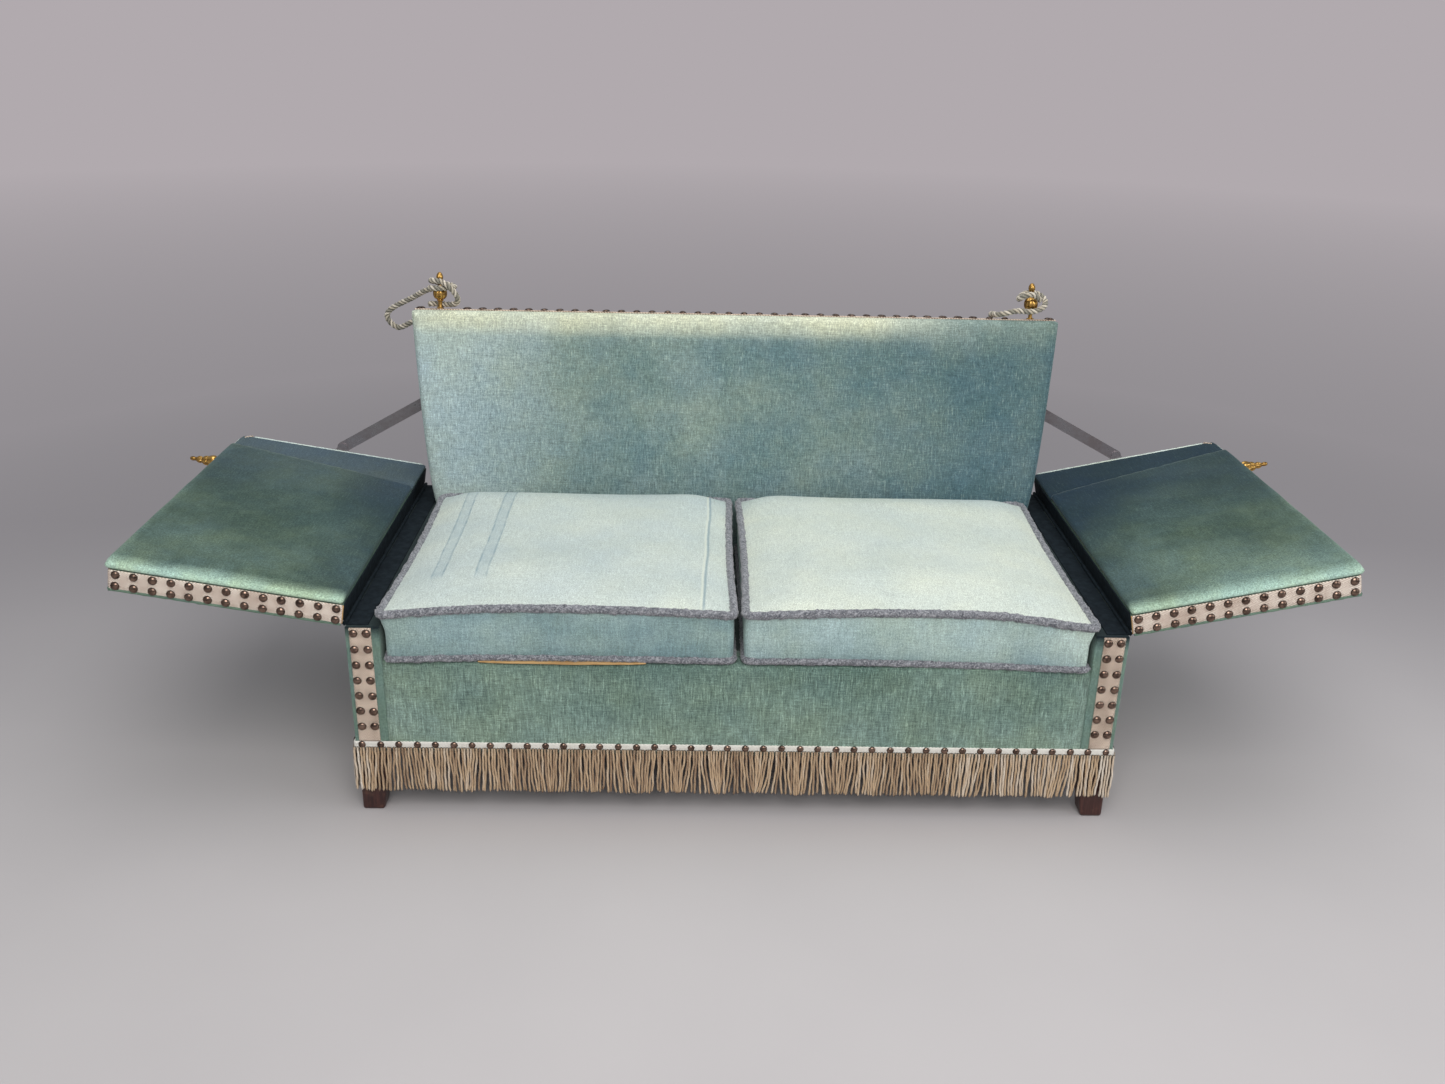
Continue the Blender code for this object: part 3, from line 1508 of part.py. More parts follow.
RIGHT_CORD_ROUTE = (
    (-0.0890, 0.0608, -0.0570),
    (-0.0895, 0.0610, -0.0370),
    (-0.0905, 0.0630, -0.0180),
    (-0.0918, 0.0570, -0.0030),
    (-0.0940, 0.0410, 0.0040),
    (-0.0930, 0.0200, 0.0075),
    (-0.0900, 0.0020, 0.0105),
    (-0.0810, -0.0100, 0.0145),
    (-0.0685, -0.0170, 0.0185),
    (-0.0545, -0.0190, 0.0230),
    (-0.0415, -0.0200, 0.0255),
    (-0.0275, -0.0200, 0.0255),
    (-0.0125, -0.0210, 0.0245),
    (0.0045, -0.0200, 0.0255),
    (0.0195, -0.0150, 0.0295),
    (0.0330, -0.0040, 0.0360),
    (0.0385, 0.0100, 0.0440),
    (0.0350, 0.0230, 0.0530),
    (0.0240, 0.0340, 0.0600),
    (0.0080, 0.0400, 0.0630),
    (-0.0100, 0.0370, 0.0610),
    (-0.0250, 0.0250, 0.0560),
    (-0.0330, 0.0100, 0.0520),
    (-0.0315, -0.0050, 0.0570),
    (-0.0235, -0.0130, 0.0640),
    (-0.0120, -0.0155, 0.0680),
    (0.0000, -0.0140, 0.0670),
    (0.0110, -0.0110, 0.0600),
    (0.0195, -0.0065, 0.0520),
)


def build_cords():
    depth = back_face(BACK_TOP) + BACK_FINIAL_SET_BACK * math.cos(BACK_RAKE)
    for name, side, route in (("left", -1, LEFT_CORD_ROUTE), ("right", 1, RIGHT_CORD_ROUTE)):
        base = Vector((side * BACK_FINIAL_X, depth, back_top_at(depth) + GAP + BRAID + GAP))
        cord(f"{name}_tie_cord", [base + Vector(point) for point in route])


def stand_on_origin():
    """Moves the whole sofa so that its box, without the cords, stands centred on the origin."""
    bpy.context.view_layer.update()
    graph = bpy.context.evaluated_depsgraph_get()
    low, high = Vector((math.inf,) * 3), Vector((-math.inf,) * 3)
    for obj in sofa_parts.objects:
        if obj.type not in ("MESH", "CURVE") or obj.name.endswith("tie_cord"):
            continue
        evaluated = obj.evaluated_get(graph)
        mesh = evaluated.to_mesh()
        for vertex in mesh.vertices:
            place = evaluated.matrix_world @ vertex.co
            low = Vector(map(min, low, place))
            high = Vector(map(max, high, place))
        evaluated.to_mesh_clear()
    root.location = (-(low.x + high.x) / 2, -(low.y + high.y) / 2, -low.z)
    print("box", [round(value, 4) for value in high - low], "moved by", list(root.location))
    for side, name, rest in ((1, "right", ARM_REST_RIGHT), (-1, "left", ARM_REST_LEFT)):
        hinge = Vector((side * HINGE_X, 0, HINGE_Z)) + root.location
        pivot = stay_pivot(side, rest) + root.location
        print(name, "hinge", [round(v, 5) for v in hinge], "stay", [round(v, 5) for v in pivot])


build_seat_frame()
build_webbing()
build_seat_platform()
build_side_covers()
build_apron()
build_feet()
build_back_pad()
build_back_frame()
build_rear_cover()
build_top_braid()
build_post_braids()
build_heading()
build_fringe()
build_arm_cover()
build_arm_frame()
build_arm_pad()
build_arm_braids()
build_finials()
build_hinges()
build_stay_brackets()
build_stay(1, "right", ARM_REST_RIGHT)
build_stay(-1, "left", ARM_REST_LEFT)
build_keepers()
build_cushion()
build_cords()
stand_on_origin()
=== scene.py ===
# Dresses the knole sofa: velvet, braid, round nails, bullion fringe, loose cushions, cords, gilt.
# Places are in metres. sofaPoint() takes a place counted from the sofa's middle, its front
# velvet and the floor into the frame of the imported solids.

import json
import math
import random

import bmesh
import bpy
import numpy as np
from mathutils import Matrix, Vector


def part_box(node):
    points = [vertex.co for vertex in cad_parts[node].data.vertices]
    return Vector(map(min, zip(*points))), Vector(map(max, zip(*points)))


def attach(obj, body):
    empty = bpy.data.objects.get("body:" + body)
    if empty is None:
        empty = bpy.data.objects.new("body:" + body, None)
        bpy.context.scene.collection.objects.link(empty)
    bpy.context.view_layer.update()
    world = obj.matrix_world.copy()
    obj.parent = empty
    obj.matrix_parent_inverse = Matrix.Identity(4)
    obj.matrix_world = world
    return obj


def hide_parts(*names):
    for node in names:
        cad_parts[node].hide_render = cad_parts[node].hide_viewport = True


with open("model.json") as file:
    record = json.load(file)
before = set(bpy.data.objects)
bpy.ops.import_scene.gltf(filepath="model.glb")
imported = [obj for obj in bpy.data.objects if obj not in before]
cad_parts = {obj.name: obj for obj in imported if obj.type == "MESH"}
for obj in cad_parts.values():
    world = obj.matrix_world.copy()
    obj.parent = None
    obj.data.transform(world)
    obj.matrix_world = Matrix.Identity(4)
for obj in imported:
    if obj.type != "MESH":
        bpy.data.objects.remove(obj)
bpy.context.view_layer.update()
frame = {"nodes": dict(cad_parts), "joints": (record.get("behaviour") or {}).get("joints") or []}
seed = 11
dice = random.Random(seed)
seeds = np.random.default_rng(seed)
weldDistance = 0.000001

rightWallLow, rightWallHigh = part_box("right_side_cover")
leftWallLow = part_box("left_side_cover")[0]
halfWidth = (rightWallHigh.x - leftWallLow.x) / 2
middleX = (rightWallHigh.x + leftWallLow.x) / 2
frontY = rightWallLow.y
depth = rightWallHigh.y - rightWallLow.y
wallTop = rightWallHigh.z
wallBottom = rightWallLow.z


def sofaPoint(x, y, z):
    return Vector((x + middleX, y + frontY, z))


sofaMatrix = Matrix.Translation((middleX, frontY, 0.0))


# Camera

view = {
    "place": (-0.0996, -2.5465, 1.7300),
    "right": (0.99968, -0.01365, 0.02145),
    "up": (-0.01463, 0.38112, 0.92441),
    "forward": (0.02079, 0.92443, -0.38079),
    "focalPixels": 1298.09,
    "imageWidth": 1445,
    "sensor": 36.0,
}
cameraData = bpy.data.cameras.new("camera")
cameraData.sensor_width = view["sensor"]
cameraData.lens = view["sensor"] * view["focalPixels"] / view["imageWidth"]
camera = bpy.data.objects.new("camera", cameraData)
bpy.context.scene.collection.objects.link(camera)
axes = Matrix((view["right"], view["up"], [-value for value in view["forward"]])).transposed()
camera.matrix_world = Matrix.Translation(sofaPoint(*view["place"])) @ axes.to_4x4()
bpy.context.scene.camera = camera
print("camera placed")


# Mesh helpers


def lerp(start, end, share):
    return start + (end - start) * share


def hump(share):  # 0 at both ends of 0 to 1, 1 in the middle
    return max(math.sin(math.pi * min(max(share, 0.0), 1.0)), 0.0)


def ease(low, high, value):  # 0 below low, 1 above high, smooth between
    share = min(max((value - low) / (high - low), 0.0), 1.0)
    return share * share * (3 - 2 * share)


def ripple(x, y, z=0.0):  # a soft wandering value from -1 to 1
    return (
        math.sin(x * 7.1 + 1.3) * math.cos(y * 5.3 - z * 3.1)
        + math.sin(x * 3.7 - y * 9.1 + z * 2.3 + 0.7)
        + math.sin(y * 13.7 + x * 2.9 + z * 5.0 + 2.1)
    ) / 3


def addMesh(name, points, faces, matrix=None, marks=None):
    mesh = bpy.data.meshes.new(name)
    mesh.from_pydata([tuple(point) for point in points], [], [tuple(face) for face in faces])
    for mark, values in (marks or {}).items():
        layer = mesh.attributes.new(mark, "FLOAT", "POINT")
        layer.data.foreach_set("value", np.asarray(values, np.float32))
    shell = bmesh.new()
    shell.from_mesh(mesh)
    bmesh.ops.remove_doubles(shell, verts=shell.verts, dist=weldDistance)
    bmesh.ops.recalc_face_normals(shell, faces=shell.faces)
    shell.to_mesh(mesh)
    shell.free()
    mesh.shade_smooth()
    obj = bpy.data.objects.new(name, mesh)
    bpy.context.scene.collection.objects.link(obj)
    if matrix is not None:
        obj.matrix_world = matrix
    return obj


def gridFaces(rows, columns, closed=False, start=0):
    faces = []
    for row in range(rows - 1):
        for column in range(columns if closed else columns - 1):
            after = (column + 1) % columns
            a, b = start + row * columns + column, start + row * columns + after
            faces.append((a, b, b + columns, a + columns))
    return faces


def tubeFaces(rows, sides, start=0):  # one ring carried along the rows, capped at both ends
    last = start + (rows - 1) * sides
    caps = [tuple(start + k for k in range(sides))[::-1], tuple(last + k for k in range(sides))]
    return gridFaces(rows, sides, closed=True, start=start) + caps


def rimOf(rows, columns):  # the outer loop of a grid, once round
    rim = [column for column in range(columns)] + [row * columns + columns - 1 for row in range(1, rows)]
    rim += [(rows - 1) * columns + column for column in range(columns - 2, -1, -1)]
    return rim + [row * columns for row in range(rows - 2, 0, -1)]


def slabFaces(rows, columns):  # two grids, the second behind the first, closed round the rim
    size = rows * columns
    faces = gridFaces(rows, columns)
    faces += [tuple(size + k for k in face)[::-1] for face in gridFaces(rows, columns)]
    rim = rimOf(rows, columns)
    for k, index in enumerate(rim):
        after = rim[(k + 1) % len(rim)]
        faces.append((after, index, index + size, after + size))
    return faces


def flipped(faces):
    return [face[::-1] for face in faces]


def stops(length, radius, cell, turns=4):  # grid lines along one side, closer at its two ends
    near = [radius - radius * math.tan(math.pi / 4 * (1 - i / turns)) for i in range(turns + 1)]
    count = max(1, round((length - 2 * radius) / cell))
    middle = [radius + (length - 2 * radius) * i / count for i in range(1, count)]
    return near + middle + [length - place for place in reversed(near)]


def blockGrid(xs, ys, zs):  # the skin of a block, with the grid places of its points
    points, index, faces = [], {}, []

    def corner(i, j, k):
        if (i, j, k) not in index:
            index[(i, j, k)] = len(points)
            points.append((xs[i], ys[j], zs[k]))
        return index[(i, j, k)]

    last = [len(line) - 1 for line in (xs, ys, zs)]
    ways = ((0, 0), (0, 1), (1, 1), (1, 0)), ((0, 0), (1, 0), (1, 1), (0, 1))
    for first, second, fixed in ((0, 1, 2), (0, 2, 1), (1, 2, 0)):
        near, far = ways[::-1] if fixed == 1 else ways
        for a in range(last[first]):
            for b in range(last[second]):
                for layer, way in ((0, near), (last[fixed], far)):
                    face = []
                    for aheadA, aheadB in way:
                        place = {first: a + aheadA, second: b + aheadB, fixed: layer}
                        face.append(corner(place[0], place[1], place[2]))
                    faces.append(face)
    return points, faces, index


def roundOff(point, low, high, radius):  # pulls a point of a block onto its rounded edges
    inner = Vector([min(max(point[a], low[a] + radius), high[a] - radius) for a in range(3)])
    away = Vector(point) - inner
    return inner + away.normalized() * radius if away.length > 1e-9 else Vector(point)


def softBlock(low, high, radius, cell):
    lines = [[low[a] + place for place in stops(high[a] - low[a], radius, cell)] for a in range(3)]
    points, faces = blockGrid(*lines)[:2]
    return [roundOff(point, low, high, radius) for point in points], faces


def smoothPath(points, step, turns=24):  # a curve through all the points
    ends = [points[0] * 2 - points[1]] + list(points) + [points[-1] * 2 - points[-2]]
    fine = []
    for i in range(1, len(ends) - 2):
        before, start, end, after = ends[i - 1 : i + 3]
        for turn in range(turns):
            t = turn / turns
            slope = (end - before) * t
            bend = (2 * before - 5 * start + 4 * end - after) * t**2
            twist = (3 * start - before - 3 * end + after) * t**3
            fine.append(0.5 * (2 * start + slope + bend + twist))
    fine.append(points[-1])
    return evenPath(fine, step)


def evenPath(fine, step):
    total = sum((b - a).length for a, b in zip(fine, fine[1:]))
    count = max(2, round(total / step))
    path, walked, target = [fine[0]], 0.0, total / count
    for a, b in zip(fine, fine[1:]):
        length = (b - a).length
        while len(path) < count and walked + length >= target * len(path):
            path.append(a.lerp(b, (target * len(path) - walked) / length))
        walked += length
    path.append(fine[-1])
    return path


def frames(path, closed=False):  # a steady pair of side directions along a path
    result, side = [], None
    for i, place in enumerate(path):
        if closed:
            ahead = (path[(i + 1) % len(path)] - path[i - 1]).normalized()
        else:
            ahead = (path[min(i + 1, len(path) - 1)] - path[max(i - 1, 0)]).normalized()
        if side is None:
            side = ahead.orthogonal().normalized()
        side = (side - ahead * side.dot(ahead)).normalized()
        result.append((place, side, ahead.cross(side)))
    return result


def sweep(path, ring, closed=False):  # ring gives the outline at one step of the path
    points, rows = [], frames(path, closed)
    for i, (place, side, lift) in enumerate(rows):
        for across, up in ring(i):
            points.append(place + side * across + lift * up)
    sides = len(ring(0))
    if not closed:
        return points, flipped(tubeFaces(len(rows), sides))
    faces = gridFaces(len(rows), sides, closed=True)
    last = (len(rows) - 1) * sides
    for k in range(sides):
        after = (k + 1) % sides
        faces.append((last + k, last + after, after, k))
    return points, flipped(faces)


def circle(sides):  # angles once round
    return [2 * math.pi * k / sides for k in range(sides)]


# Material helpers


def shade(red, green, blue):  # a colour as a screen shows it, 0 to 255, for a shader
    def straight(value):
        value /= 255
        return value / 12.92 if value <= 0.04045 else ((value + 0.055) / 1.055) ** 2.4

    return (straight(red), straight(green), straight(blue), 1.0)


def setInputs(tree, node, inputs):  # a socket is linked, anything else is set
    for key, value in inputs.items():
        if isinstance(value, bpy.types.NodeSocket):
            tree.links.new(value, node.inputs[key])
        else:
            node.inputs[key].default_value = value


def put(tree, kind, inputs=None, **settings):
    node = tree.nodes.new("ShaderNode" + kind)
    for key, value in settings.items():
        setattr(node, key, value)
    setInputs(tree, node, inputs or {})
    return node


def calc(tree, operation, first, second=0.0, clamp=False):
    node = put(tree, "Math", {0: first, 1: second, 2: 0.0}, operation=operation)
    node.use_clamp = clamp
    return node.outputs[0]


def times(tree, first, second, clamp=False):
    return calc(tree, "MULTIPLY", first, second, clamp)


def plus(tree, first, second, clamp=False):
    return calc(tree, "ADD", first, second, clamp)


def minus(tree, first, second, clamp=False):
    return calc(tree, "SUBTRACT", first, second, clamp)


def waves(tree, value, rate):  # threads side by side, 0 between them and 1 on each
    return calc(tree, "ABSOLUTE", calc(tree, "SINE", times(tree, value, rate)))


def mixed(tree, share, first, second, way="MIX"):
    node = put(tree, "Mix", {0: share, 6: first, 7: second}, data_type="RGBA", blend_type=way)
    return node.outputs[2]


def ranged(tree, value, low, high, newLow=0.0, newHigh=1.0):
    node = put(tree, "MapRange", {0: value, 1: low, 2: high, 3: newLow, 4: newHigh})
    return node.outputs[0]


def stretched(tree, place, scale):
    return put(tree, "VectorMath", {0: place, 1: scale}, operation="MULTIPLY").outputs[0]


def clouds(tree, place, scale, detail=2.0, roughness=0.5):
    node = put(tree, "TexNoise", {"Vector": place, "Scale": scale, "Detail": detail, "Roughness": roughness})
    return node.outputs["Fac"]


def newGroup(name, inputs, outputs):
    group = bpy.data.node_groups.new(name, "ShaderNodeTree")
    for way, sockets in (("INPUT", inputs), ("OUTPUT", outputs)):
        for kind, names in sockets:
            for socket in names.split():
                group.interface.new_socket(name=socket, in_out=way, socket_type="NodeSocket" + kind)
    return group, group.nodes.new("NodeGroupInput").outputs, group.nodes.new("NodeGroupOutput")


surfaceOutputs = (("Color", "Color"), ("Float", "Height Roughness"))


def makeVelvetPile():
    tree, given, out = newGroup("velvetPile", (
        ("Vector", "Place"), ("Color", "Base Worn Deep Cool"),
        ("Float", "Fade Shadow Chill Slubs Mottle Grain"),
    ), surfaceOutputs)
    place = given["Place"]
    upright = clouds(tree, stretched(tree, place, (380.0, 30.0, 200.0)), 1.0, 2.0, 0.65)
    level = clouds(tree, stretched(tree, place, (34.0, 420.0, 60.0)), 1.0, 2.0, 0.65)
    uprightSlub = ranged(tree, upright, 0.58, 0.80)
    levelSlub = ranged(tree, level, 0.60, 0.82)
    slubs = times(tree, plus(tree, uprightSlub, times(tree, levelSlub, 0.6)), given["Slubs"])
    warp = times(tree, minus(tree, upright, 0.5), 1.25)
    weft = times(tree, minus(tree, level, 0.5), 0.85)
    weave = plus(tree, 1.0, times(tree, plus(tree, warp, weft), given["Slubs"]))
    patches = clouds(tree, place, 4.2, 3.0, 0.55)
    marks = clouds(tree, place, 21.0, 4.0, 0.7)
    fine = clouds(tree, place, 420.0, 2.0, 0.7)
    wander = times(tree, minus(tree, patches, 0.5), times(tree, given["Mottle"], 1.6))
    smudge = times(tree, minus(tree, marks, 0.5), times(tree, given["Mottle"], 0.9))
    # the pale mark mixes toward the worn tone: real wear in places, painted light in others, such as the
    # arms' front rolls and the back's left side
    wearAndLight = plus(tree, plus(tree, given["Fade"], wander), smudge, clamp=True)
    shadow = minus(tree, given["Shadow"], wander, clamp=True)
    colour = mixed(tree, wearAndLight, given["Base"], given["Worn"])
    colour = mixed(tree, shadow, colour, given["Deep"])
    colour = mixed(tree, given["Chill"], colour, given["Cool"])
    colour = mixed(tree, times(tree, slubs, 0.20, clamp=True), colour, given["Worn"])
    hue = ranged(tree, clouds(tree, place, 7.0, 3.0, 0.6), 0.36, 0.64)
    tint = mixed(tree, hue, (1.08, 1.03, 0.88, 1.0), (0.93, 0.98, 1.09, 1.0))
    colour = mixed(tree, given["Grain"], colour, mixed(tree, 1.0, colour, tint, "MULTIPLY"))
    coarse = minus(tree, clouds(tree, place, 250.0, 3.0, 0.75), 0.5)
    nap = plus(tree, 1.0, times(tree, times(tree, coarse, given["Grain"]), 2.4))
    pile = clouds(tree, stretched(tree, place, (900.0, 300.0, 200.0)), 1.0, 1.0)
    threads = ranged(tree, pile, 0.3, 0.7, 0.82, 1.16)
    grain = times(tree, ranged(tree, fine, 0.3, 0.7, 0.82, 1.16), times(tree, threads, weave))
    grain = times(tree, grain, nap)
    speck = put(tree, "CombineColor", {0: grain, 1: grain, 2: grain}).outputs[0]
    setInputs(tree, out, {
        "Color": mixed(tree, 1.0, colour, speck, "MULTIPLY"),
        "Height": plus(tree, times(tree, fine, 0.5), times(tree, slubs, 0.35)),
        "Roughness": ranged(tree, marks, 0.3, 0.7, 0.80, 0.96),
    })
    return tree


def makeZigzag():
    sockets = (("Float", "Along Across Pitch Zig"),), (("Float", "Thread Edge"),)
    tree, given, out = newGroup("zigzagWeave", *sockets)
    fold = calc(tree, "PINGPONG", calc(tree, "DIVIDE", given["Across"], given["Zig"]), 1.0)
    lane = plus(tree, calc(tree, "DIVIDE", given["Along"], given["Pitch"]), times(tree, fold, 2.2))
    wave = waves(tree, lane, math.pi)
    plait = waves(tree, calc(tree, "DIVIDE", given["Across"], given["Pitch"]), math.pi * 0.9)
    thread = times(tree, calc(tree, "POWER", wave, 0.6), plus(tree, times(tree, plait, 0.12), 0.88))
    setInputs(tree, out, {"Thread": thread, "Edge": fold})
    return tree


def makeTarnishAndShade():
    tree, given, out = newGroup("tarnishAndShade", (
        ("Vector", "Place"), ("Float", "Scale"), ("Color", "Clean Dull"), ("Float", "Cover Groove Rough"),
    ), surfaceOutputs)
    bloom = clouds(tree, given["Place"], given["Scale"], 4.0, 0.65)
    spots = clouds(tree, given["Place"], times(tree, given["Scale"], 4.3), 3.0, 0.6)
    edge = minus(tree, 1.0, given["Cover"])
    spread = plus(tree, times(tree, bloom, 0.65), times(tree, spots, 0.35))
    mask = ranged(tree, spread, minus(tree, edge, 0.12), plus(tree, edge, 0.12))
    # the Groove mark darkens hollows: patina in the finials' flutes, and a painted shadow ring round the
    # nails' feet
    mask = calc(tree, "MAXIMUM", mask, given["Groove"], clamp=True)
    gloss = times(tree, ranged(tree, mask, 0.0, 1.0, 0.20, 0.56), given["Rough"])
    colour = mixed(tree, mask, given["Clean"], given["Dull"])
    setInputs(tree, out, {"Color": colour, "Height": spots, "Roughness": gloss})
    return tree


def makeWoodGrain():
    tree, given, out = newGroup("woodGrain", (
        ("Vector", "Place"), ("Color", "Light Dark Wear"), ("Float", "Worn"),
    ), surfaceOutputs)
    bend = clouds(tree, given["Place"], 9.0, 2.0)
    rings = clouds(tree, stretched(tree, given["Place"], (220.0, 220.0, 14.0)), 1.0, 3.0, 0.6)
    pores = clouds(tree, stretched(tree, given["Place"], (900.0, 900.0, 60.0)), 1.0, 1.0)
    share = ranged(tree, plus(tree, times(tree, rings, 0.7), times(tree, bend, 0.3)), 0.35, 0.65)
    colour = mixed(tree, share, given["Light"], given["Dark"])
    colour = mixed(tree, times(tree, ranged(tree, pores, 0.58, 0.7), 0.4), colour, given["Dark"])
    scuff = ranged(tree, clouds(tree, given["Place"], 60.0, 3.0), 0.55, 0.72)
    scuff = times(tree, scuff, given["Worn"])
    setInputs(tree, out, {
        "Color": mixed(tree, scuff, colour, given["Wear"]),
        "Height": plus(tree, rings, pores),
        "Roughness": ranged(tree, scuff, 0.0, 1.0, 0.36, 0.7),
    })
    return tree


velvetPile = makeVelvetPile()
zigzagWeave = makeZigzag()
tarnishAndShade = makeTarnishAndShade()
woodGrain = makeWoodGrain()


def startMaterial(name, roughness=0.85, metallic=0.0):
    material = bpy.data.materials.new(name)
    material.use_nodes = True
    tree = material.node_tree
    shader = tree.nodes["Principled BSDF"]
    shader.inputs["Roughness"].default_value = roughness
    shader.inputs["Metallic"].default_value = metallic
    return material, tree, shader


def useGroup(tree, group, inputs):
    node = tree.nodes.new("ShaderNodeGroup")
    node.node_tree = group
    setInputs(tree, node, inputs)
    return node.outputs


def objectPlace(tree, order="xyz"):
    place = put(tree, "TexCoord").outputs["Object"]
    if order == "xyz":
        return place
    parts = put(tree, "SeparateXYZ", {0: place}).outputs
    return put(tree, "CombineXYZ", {i: parts["xyz".index(axis)] for i, axis in enumerate(order)}).outputs[0]


def mark(tree, name):
    return put(tree, "Attribute", attribute_name=name).outputs["Fac"]


def bump(tree, shader, height, strength, distance):
    node = put(tree, "Bump", {"Height": height, "Strength": strength, "Distance": distance})
    tree.links.new(node.outputs[0], shader.inputs["Normal"])


velvetTones = {  # plain, worn and shaded tone of each velvet; the worn tone also serves for painted light
    "back": ((98, 124, 122), (210, 214, 190), (72, 102, 114)),
    "apron": ((108, 132, 122), (182, 202, 184), (64, 90, 82)),
    "wall": ((108, 132, 122), (182, 202, 184), (22, 32, 38)),
    "rear": ((58, 80, 76), (104, 126, 114), (36, 52, 56)),
    "arm": ((64, 83, 75), (172, 198, 178), (28, 48, 62)),
    "cover": ((70, 94, 82), (146, 170, 150), (46, 64, 66)),
    "cushion": ((190, 201, 198), (214, 220, 206), (148, 170, 180)),
    "boxing": ((128, 154, 154), (196, 215, 208), (80, 108, 118)),
    "piping": ((176, 196, 184), (214, 224, 216), (120, 146, 144)),
    "gapShade": ((22, 32, 38), (44, 62, 68), (12, 20, 26)),
}
coolTone = shade(182, 202, 206)


def velvet(name, tones, order="xzy", slubs=1.0, mottle=0.5, sheen=0.35, grain=0.4):
    material, tree, shader = startMaterial(name)
    base, worn, deep = [shade(*tone) for tone in velvetTones[tones]]
    pile = useGroup(tree, velvetPile, {
        "Place": objectPlace(tree, order), "Base": base, "Worn": worn, "Deep": deep, "Cool": coolTone,
        "Fade": mark(tree, "pale"), "Shadow": mark(tree, "deep"), "Chill": mark(tree, "cool"),
        "Slubs": slubs, "Mottle": mottle, "Grain": grain,
    })
    setInputs(tree, shader, {
        "Base Color": pile["Color"], "Roughness": pile["Roughness"], "Specular IOR Level": 0.15,
        "Sheen Weight": sheen, "Sheen Roughness": 0.45, "Sheen Tint": shade(205, 225, 218),
    })
    bump(tree, shader, pile["Height"], 0.35, 0.0012)
    return material


cushionLook = {"order": "xyz", "slubs": 0.30, "mottle": 0.3, "sheen": 0.1, "grain": 0.15}
backVelvet = velvet("backVelvet", "back", mottle=0.30)
apronVelvet = velvet("apronVelvet", "apron", slubs=1.35, mottle=0.22)
wallVelvet = velvet("wallVelvet", "wall", "yzx", slubs=0.5, mottle=0.25)
rearVelvet = velvet("rearVelvet", "rear", slubs=0.6, mottle=0.25)
armVelvet = velvet("armVelvet", "arm", "xyz", slubs=0.35, mottle=0.26, sheen=0.16, grain=0.8)
coverVelvet = velvet("coverVelvet", "cover", "xyz", slubs=0.4, mottle=0.35)
cushionVelvet = velvet("cushionVelvet", "cushion", **cushionLook)
leftTopVelvet = velvet("leftTopVelvet", "cushion", **cushionLook)
boxingVelvet = velvet("boxingVelvet", "boxing", slubs=0.6, mottle=0.35)
palePiping = velvet("palePiping", "piping", "xyz", slubs=0.1)
gapShadeVelvet = velvet("gapShadeVelvet", "gapShade", "yxz", slubs=0.2, mottle=0.3, sheen=0.1)


def braidMaterial(name, light, dark, order, pitch=0.0072, zig=0.0088):
    material, tree, shader = startMaterial(name, 0.9)
    place = put(tree, "SeparateXYZ", {0: objectPlace(tree, order)}).outputs
    weave = useGroup(tree, zigzagWeave, {"Along": place[0], "Across": place[1], "Pitch": pitch, "Zig": zig})
    spot = ranged(tree, clouds(tree, objectPlace(tree), 90.0, 3.0), 0.2, 0.7, 0.75, 1.1)
    soil = ranged(tree, clouds(tree, objectPlace(tree), 14.0, 3.0), 0.35, 0.7, 0.0, 0.35)
    share = minus(tree, 1.0, times(tree, weave["Thread"], spot), clamp=True)
    colour = mixed(tree, plus(tree, share, soil, clamp=True), shade(*light), shade(*dark))
    setInputs(tree, shader, {"Base Color": colour, "Sheen Weight": 0.1})
    bump(tree, shader, weave["Thread"], 0.8, 0.0012)
    return material


braidTones = (246, 226, 206), (104, 76, 60)
headingTones = (252, 250, 242), (230, 224, 212)
braidUp = braidMaterial("braidUp", *braidTones, "zxy")
braidAlong = braidMaterial("braidAlong", (255, 244, 230), (160, 126, 106), "xzy")
braidFlat = braidMaterial("braidFlat", *braidTones, "xyz")
braidSide = braidMaterial("braidSide", *braidTones, "yzx")
headingWeave = braidMaterial("headingWeave", *headingTones, "xzy", 0.0030, 0.0060)
headingSide = braidMaterial("headingSide", *headingTones, "yzx", 0.0030, 0.0060)


def metal(name, clean, dull, cover, scale, metallic=1.0, bumpStrength=0.15, rough=1.0):
    material, tree, shader = startMaterial(name, 0.4, metallic)
    coat = useGroup(tree, tarnishAndShade, {
        "Place": objectPlace(tree), "Scale": scale, "Clean": shade(*clean), "Dull": shade(*dull),
        "Cover": cover, "Groove": mark(tree, "groove"), "Rough": rough,
    })
    setInputs(tree, shader, {"Base Color": coat["Color"], "Roughness": coat["Roughness"]})
    bump(tree, shader, coat["Height"], bumpStrength, 0.0006)
    return material


nailBrass = metal("nailBrass", (144, 120, 106), (44, 34, 31), 0.47, 90.0, bumpStrength=0.04, rough=0.58)
gilt = metal("gilt", (222, 176, 98), (84, 54, 30), 0.44, 90.0, rough=0.85)
stayIron = metal("stayIron", (168, 160, 164), (132, 122, 124), 0.5, 16.0, metallic=0.55, bumpStrength=0.05)


def shadedSteel(name, clean, dull):  # near-black and dull: painted shade, matching the dark, shaded velvet flap over the hinge
    material, tree, shader = startMaterial(name, 0.85)
    share = ranged(tree, clouds(tree, objectPlace(tree), 60.0, 4.0, 0.6), 0.35, 0.65)
    colour = mixed(tree, share, shade(*clean), shade(*dull))
    rough = ranged(tree, share, 0.0, 1.0, 0.75, 0.95)
    setInputs(tree, shader, {"Base Color": colour, "Roughness": rough, "Specular IOR Level": 0.2})
    bump(tree, shader, share, 0.2, 0.0004)
    return material


shadedHinge = shadedSteel("shadedHinge", (26, 36, 43), (18, 26, 32))


